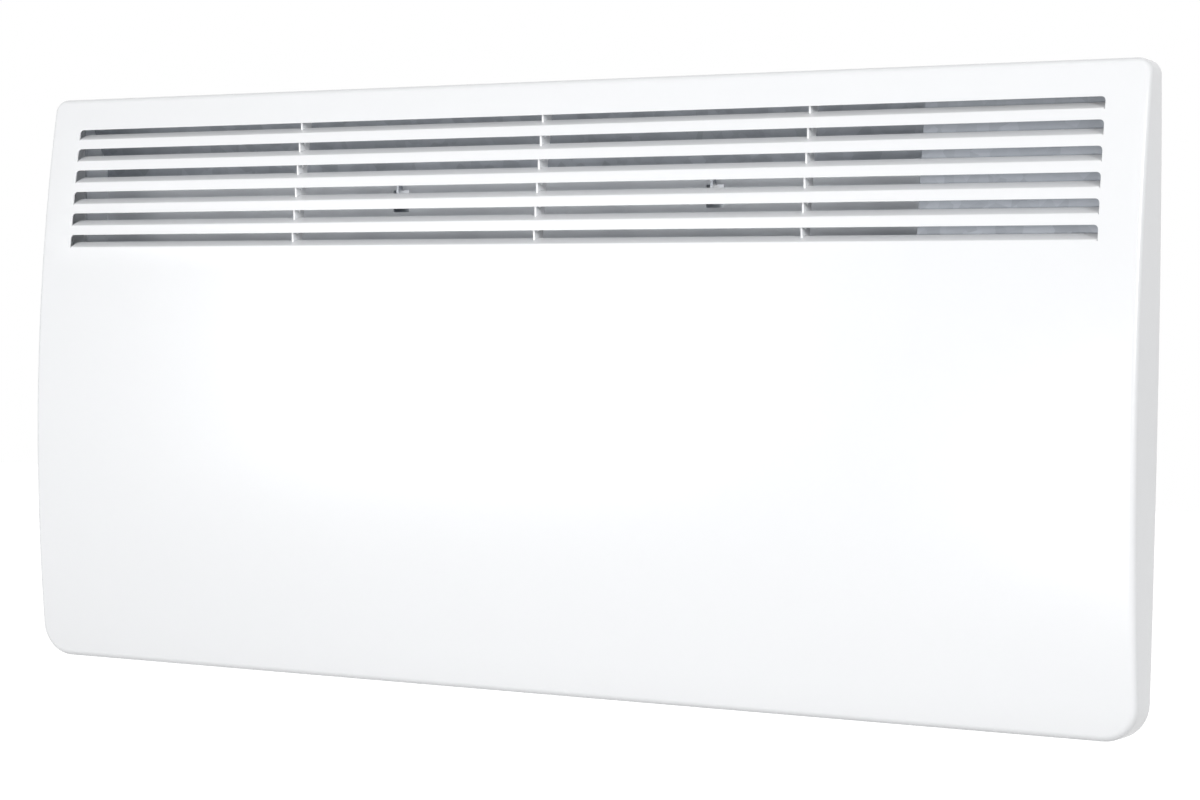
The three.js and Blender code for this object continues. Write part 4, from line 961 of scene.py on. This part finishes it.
# %% Wall spacers
PAD, STEM, BARB, PLUG = 12 * MM, 3 * MM, 4.6 * MM, 4 * MM
PAD_FACE, PAD_EDGE, PAD_FOOT = 10 * MM, 1.7 * MM, 11 * MM
PLUG_TIP = 2 * MM
spot, other_spot = (middle_of(node) for node in SPACERS)
wall_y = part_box(SPACERS[0])[1].y
spacer = turned("spacer_left", [
    (0, wall_y), (PAD_FACE, wall_y), (PAD, wall_y - PAD_EDGE), (PAD_FOOT, SHOULDER), (STEM, SHOULDER),
    (STEM, HORN_BACK), (BARB, HORN_BACK), (PLUG_TIP, HORN_BACK - PLUG), (0, HORN_BACK - PLUG)],
    (spot.x, 0, spot.z), 1, soften=0.3 * MM)
twin = copy_of(spacer, other_spot - spot)
twin.name = "spacer_right"
dress(spacer, SPACERS[0])
dress(twin, SPACERS[1])

# %% [markdown]
# Twelve pan-head screws hold the pieces. One is modelled at the origin, with a low dome, a cross recess and a
# thread drawn as rings, since nobody can tell so fine a helix from them. It is then copied to every place,
# head outwards on the flange and head inwards on the element's brackets.

# %% Screws
SHANK, HEAD, HEAD_HEIGHT, SCREW_LENGTH = 2 * MM, 3.8 * MM, 2.2 * MM, 7 * MM
THREAD_RINGS, THREAD_ROOT, THREAD_START = 6, 0.76, 0.6 * MM
RECESS_REACH, RECESS_HALF, RECESS_DEPTH = 1.9 * MM, 0.45 * MM, 1.3 * MM
COVER_SEAT = flange_back + CLEARANCE
BRACKET_SEAT = casing_floor - BRACKET_SHEET - 2 * CLEARANCE
ring_pitch = (SCREW_LENGTH - 2 * MM) / (2 * THREAD_RINGS)
thread = [(SHANK * (THREAD_ROOT if i % 2 else 1), -THREAD_START - ring_pitch * i)
          for i in range(2 * THREAD_RINGS + 1)]
screw = turned("screw", [(0, -SCREW_LENGTH), (SHANK * 0.45, -SCREW_LENGTH)] + thread[::-1] + [
    (SHANK, 0), (HEAD, 0), (HEAD, HEAD_HEIGHT * 0.45), (HEAD * 0.86, HEAD_HEIGHT * 0.78),
    (HEAD * 0.6, HEAD_HEIGHT * 0.95), (0, HEAD_HEIGHT)], (0, 0, 0), 1, steps=32)
for x, z in ((RECESS_REACH, RECESS_HALF), (RECESS_HALF, RECESS_REACH)):
    bar = block("bar", (-x, HEAD_HEIGHT - RECESS_DEPTH, -z), (x, HEAD_HEIGHT + OVERCUT, z))
    combine(screw, [bar], "DIFFERENCE")
for node in SCREWS + BRACKET_SCREWS:
    spot = middle_of(node)
    twin = copy_of(screw)
    twin.name = node.replace("screw", "pan_screw")
    if node in SCREWS:
        seat_y = COVER_SEAT - rim_lean(spot.z)
    else:
        seat_y = BRACKET_SEAT
        twin.data.transform(Matrix.Rotation(math.pi, 4, "Z"))
    twin.data.transform(Matrix.Translation((spot.x, seat_y, spot.z)))
    dress(twin, node)
bpy.data.objects.remove(screw)

# %% [markdown]
# The controls sit in a moulded recess at the right of the top edge, lower at the back so that a hand reaches
# in from above. The recess starts as a block whose rear half slopes down, and is hollowed to an even wall.

# %% Control recess
WELL_WALL = 2.5 * MM
WELL_BACK_DROP = 10 * MM
WELL_CORNER, WELL_INNER_CORNER, WELL_FLOOR_BEND = 4 * MM, 2.5 * MM, 1.2 * MM
THREAD_HOLE = 5.3 * MM
LENS_HOLE = 3.3 * MM
SWITCH_HALF = Vector((14 * MM, 10 * MM, 0))
well_y = middle_of("thermostat_knob").y
knob_spot, lens_spot, switch_spot = (
    Vector((middle_of(node).x, well_y, 0)) for node in ("thermostat_knob", "pilot_lens", "switch_body"))
well_floor = well_low.z + WELL_WALL
floor_cut = (well_low.z - OVERCUT, well_floor + OVERCUT)

well = block("recess", well_low, well_high)
with editing(well):
    slice_at(1, well_y)
    pick("verts", lambda v, p: p.z > well_high.z - NEAR and p.y > well_high.y - NEAR)
    move((0, 0, CLEARANCE - WELL_BACK_DROP))
round_edges(well, WELL_CORNER, 6, lambda e, p: runs_along(e, 2) and abs(p.y - well_y) > MM)
inner = block("inner", (well_low.x + WELL_WALL, well_low.y + WELL_WALL, well_floor),
              (well_high.x - WELL_WALL, well_high.y - WELL_WALL, well_high.z + OVERCUT))
round_edges(inner, WELL_INNER_CORNER, 5, lambda e, p: runs_along(e, 2))
round_edges(inner, WELL_FLOOR_BEND, 4, lambda e, p: within(e, 2, well_floor))
combine(well, [inner], "DIFFERENCE")
combine(well, [
    standing_block("window", switch_spot, SWITCH_HALF + even(CLEARANCE), *floor_cut),
    standing_drum("hole", THREAD_HOLE, knob_spot, *floor_cut),
    standing_drum("hole", LENS_HOLE, lens_spot, *floor_cut),
], "DIFFERENCE")
dress(well, "control_well")

# %% [markdown]
# The knob is turned with a skirt and a slightly tapered grip. Twelve flutes with round feet are cut in the
# grip for the fingers, a bore takes the spindle, and a raised bar on top points to the setting.

# %% Thermostat knob
KNOB_RADIUS, GRIP_RADIUS, KNOB_HEIGHT = 15 * MM, 12.5 * MM, 14.5 * MM
SKIRT, SKIRT_RELIEF = 2.4 * MM, 0.8 * MM
FLUTES, FLUTE_RADIUS, FLUTE_FOOT = 12, 1.5 * MM, 1 * MM
KNOB_BORE = 3.3 * MM
POINTER_HALF, POINTER_RISE, POINTER_ROUND = 0.8 * MM, 0.7 * MM, 0.35 * MM
knob_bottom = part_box("thermostat_knob")[0].z
knob_top = knob_bottom + KNOB_HEIGHT
spindle_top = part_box("thermostat_spindle")[1].z


def ring_spots(centre, radius, count, turn=0):
    """Spots spread evenly on a level circle."""
    angles = [(i + turn) / count * 2 * math.pi for i in range(count)]
    return [Vector((centre.x + radius * math.cos(a), centre.y + radius * math.sin(a), 0)) for a in angles]


knob = turned("knob", [
    (0, SKIRT_RELIEF), (KNOB_RADIUS - 2 * MM, SKIRT_RELIEF), (KNOB_RADIUS - 1.6 * MM, 0),
    (KNOB_RADIUS - MM, 0), (KNOB_RADIUS, MM), (KNOB_RADIUS, SKIRT),
    (GRIP_RADIUS + 0.3 * MM, SKIRT + 0.7 * MM), (GRIP_RADIUS, SKIRT + 1.4 * MM),
    (GRIP_RADIUS - 0.8 * MM, KNOB_HEIGHT - MM),
    (GRIP_RADIUS - 1.8 * MM, KNOB_HEIGHT), (0, KNOB_HEIGHT)],
    (knob_spot.x, well_y, knob_bottom), soften=0.25 * MM, steps=72)
flute_low = knob_bottom + SKIRT + FLUTE_RADIUS
cutters = [
    round_edges(standing_drum("flute", FLUTE_RADIUS, spot, flute_low, knob_top + OVERCUT, 20),
                FLUTE_FOOT, 4, lambda e, p: within(e, 2, flute_low))
    for spot in ring_spots(knob_spot, GRIP_RADIUS + FLUTE_RADIUS / 2, FLUTES, 0.5)]
cutters.append(standing_drum("bore", KNOB_BORE, knob_spot, knob_bottom - OVERCUT, spindle_top + CLEARANCE))
combine(knob, cutters, "DIFFERENCE")
pointer = block(
    "pointer", (knob_spot.x - POINTER_HALF, well_y - GRIP_RADIUS + 2.5 * MM, knob_top - POINTER_RISE),
    (knob_spot.x + POINTER_HALF, well_y - MM, knob_top + POINTER_RISE))
round_edges(pointer, POINTER_ROUND, 3, lambda e, p: p.z > knob_top - POINTER_RISE + 0.1 * MM)
combine(knob, [pointer], "UNION")
dress(knob, "thermostat_knob", body="thermostat_dial")

# %% [markdown]
# Beside the knob sits a red lens: a low dome with a tail that is pressed through the recess's floor. The
# switch next to it has a bezel that rests on the floor, a box under it with an open pocket, and two blade
# terminals for its leads.

# %% Pilot lens and switch
LENS_RADIUS, LENS_TAIL, LENS_TAIL_RADIUS = 4 * MM, 5 * MM, 3 * MM
BEZEL_RIM, BEZEL_HEIGHT, BEZEL_CORNER, BEZEL_ROUND = 2 * MM, 2.2 * MM, 2 * MM, 0.8 * MM
SWITCH_HEIGHT = 22 * MM
SWITCH_WALL = 1.6 * MM
PIVOT_DROP = 3 * MM
POCKET_DEPTH = 6 * MM
TAB_HALF, TAB_LENGTH, TAB_CORNER = Vector((0.4, 3.15, 0)) * MM, 9 * MM, 1.2 * MM
TAB_ROOT = 0.5 * MM
TAB_SPREAD = 7 * MM
under = well_low.z - LENS_TAIL
seat = well_floor + CLEARANCE
dome = [(LENS_RADIUS * share, seat + rise * MM)
        for share, rise in ((1, 0), (1, 0.9), (0.9, 1.6), (0.66, 2.25), (0.35, 2.6), (0, 2.7))]
lens = turned("lens", [(0, under), (LENS_TAIL_RADIUS, under), (LENS_TAIL_RADIUS, seat)] + dome,
              lens_spot, soften=0.12 * MM)
dress(lens, "pilot_lens", angle=50)

switch_top = seat + BEZEL_HEIGHT
pivot_z = switch_top - PIVOT_DROP
switch_low = switch_top - SWITCH_HEIGHT
switch = standing_block("switch", switch_spot, SWITCH_HALF + even(BEZEL_RIM), seat, switch_top)
round_edges(switch, BEZEL_CORNER, 5, lambda e, p: runs_along(e, 2))
round_edges(switch, BEZEL_ROUND, 3, lambda e, p: within(e, 2, switch_top))
combine(switch, [standing_block("box", switch_spot, SWITCH_HALF, switch_low, seat + MM)], "UNION")
for side in (-way(0), way(0)):
    tab = standing_block(
        "tab", switch_spot + side * TAB_SPREAD, TAB_HALF, switch_low - TAB_LENGTH, switch_low + TAB_ROOT)
    round_edges(tab, TAB_CORNER, 2, lambda e, p: runs_along(e, 0) and p.z < switch_low - MM)
    combine(switch, [tab], "UNION")
pocket = standing_block(
    "pocket", switch_spot, SWITCH_HALF - even(SWITCH_WALL), pivot_z - POCKET_DEPTH, switch_top + OVERCUT)
combine(switch, [pocket], "DIFFERENCE")
dress(switch, "switch_body")

# %% [markdown]
# The rocker is one bar. Slices across it give rows of points, which are moved to a top that dips to a shallow
# V and to a foot that is deepest at the pivot. At last the bar leans to its off side, about the pivot.

# %% Rocker
ROCKER_TILT = math.radians(8)
ROCKER_BREADTH = SWITCH_HALF.y - SWITCH_WALL - CLEARANCE
ROCKER_END_GAP = 1.2 * MM
ROCKER_ROUND = 0.7 * MM
FLAT = 3 * MM
half = SWITCH_HALF.x - SWITCH_WALL - ROCKER_END_GAP
TOP_LINE = {half: 5.4 * MM, half / 2: 4.2 * MM, FLAT: 3.85 * MM, 0: 3.6 * MM}
FOOT_LINE = {half: 2.4 * MM, half / 2: -0.6 * MM, FLAT: -2 * MM, 0: -2 * MM}
rocker = block("rocker", (-half, -ROCKER_BREADTH, 0), (half, ROCKER_BREADTH, MM))
with editing(rocker):
    for x in (-half / 2, -FLAT, 0, FLAT, half / 2):
        slice_at(0, x)
    for line, start in ((TOP_LINE, MM), (FOOT_LINE, 0)):
        for x, height in line.items():
            pick("verts", lambda v, p: abs(abs(p.x) - x) < NEAR and abs(p.z - start) < NEAR)
            move((0, 0, height - start))
round_edges(rocker, ROCKER_ROUND, 4, lambda e, p: (
    runs_along(e, 1) and abs(p.x) > half - NEAR and p.z > TOP_LINE[half] - 0.4 * MM))
with editing(rocker):
    pick_all()
    bpy.ops.transform.rotate(value=-ROCKER_TILT, orient_axis="Y", center_override=(0, 0, 0))
    move(switch_spot + way(2) * pivot_z)
dress(rocker, "switch_rocker", body="rocker")

# %% [markdown]
# Below, a cable gland closes the cord's hole. Its cap is a dome with grip ribs over a hexagonal foot, and its
# thread comes up through the casing into a nut. No cord is in it, because none is seen.

# %% Cable gland and nuts
GLAND_REACH, GLAND_CAP, GLAND_FOOT = 11 * MM, 8 * MM, 4 * MM
GLAND_BORE, GLAND_THREAD, GLAND_HEX = 3.6 * MM, 7 * MM, 9 * MM
GLAND_RINGS, RING_PITCH, RING_DEPTH = 14, 0.55 * MM, 0.35 * MM
GLAND_RIBS, GROOVE_RADIUS, GROOVE_OUT = 18, 0.6 * MM, 0.25 * MM
DIAL_HEX = 8 * MM
HEX_ROUND = 0.5 * MM
gland_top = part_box("cable_gland")[1].z
gland_under = casing_bottom - CLEARANCE
tip = gland_under - GLAND_REACH
gland = turned("gland", [
    (GLAND_BORE, tip), (GLAND_CAP - 2 * MM, tip), (GLAND_CAP - 0.6 * MM, tip + 0.8 * MM),
    (GLAND_CAP, tip + 2 * MM), (GLAND_CAP, gland_under - MM), (GLAND_THREAD, gland_under - MM)]
    + [(GLAND_THREAD - RING_DEPTH * (i % 2), gland_under + i * RING_PITCH) for i in range(GLAND_RINGS)]
    + [(GLAND_THREAD - MM, gland_top), (GLAND_BORE, gland_top), (GLAND_BORE, tip)],
    (gland_spot.x, gland_spot.y, 0), steps=72)
combine(gland, [
    standing_drum("groove", GROOVE_RADIUS, spot, tip - OVERCUT, gland_under - GLAND_FOOT, 12)
    for spot in ring_spots(gland_spot, GLAND_CAP + GROOVE_OUT, GLAND_RIBS)], "DIFFERENCE")


def hexagon(name, spot, radius, low, high, bore):
    made = standing_drum(name, radius, spot, low, high, 6)
    round_edges(made, HEX_ROUND, 2, lambda e, p: within(e, 2, low) or within(e, 2, high))
    return combine(made, [standing_drum("bore", bore, spot, low - OVERCUT, high + OVERCUT)], "DIFFERENCE")


foot = hexagon("foot", gland_spot, GLAND_HEX, gland_under - GLAND_FOOT, gland_under, GLAND_BORE + MM)
combine(gland, [foot], "UNION")
dress(gland, "cable_gland")
for name, node, spot, radius, bore in (
        ("gland_nut", "cable_gland_nut", gland_spot, GLAND_HEX, GLAND_HOLE),
        ("dial_nut", "thermostat_nut", knob_spot, DIAL_HEX, THREAD_HOLE)):
    nut_low, nut_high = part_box(node)
    dress(hexagon(name, spot, radius, nut_low.z, nut_high.z, bore), node)

# %% [markdown]
# The combs behind the louvres, the deflector, the small brackets and two more pieces keep the frame's own
# forms. Their cut edges are broken by a narrow bevel, as tumbling leaves them.

# %% Broken edges on the frame's sheet parts
EDGE_BREAK = 0.2 * MM
SHARP = math.radians(40)
SHEET_PARTS = [f"louvre_stiffener_{i}" for i in range(1, 4)] + [
    "air_deflector", "element_bracket_left", "element_bracket_right", "control_partition", "terminal_block"]
for name in SHEET_PARTS:
    modify(nodes[name], "WELD", merge_threshold=NEAR)
    modify(nodes[name], "BEVEL", width=EDGE_BREAK, segments=2, limit_method="ANGLE", angle_limit=SHARP)
print("edges broken on", len(SHEET_PARTS), "parts")
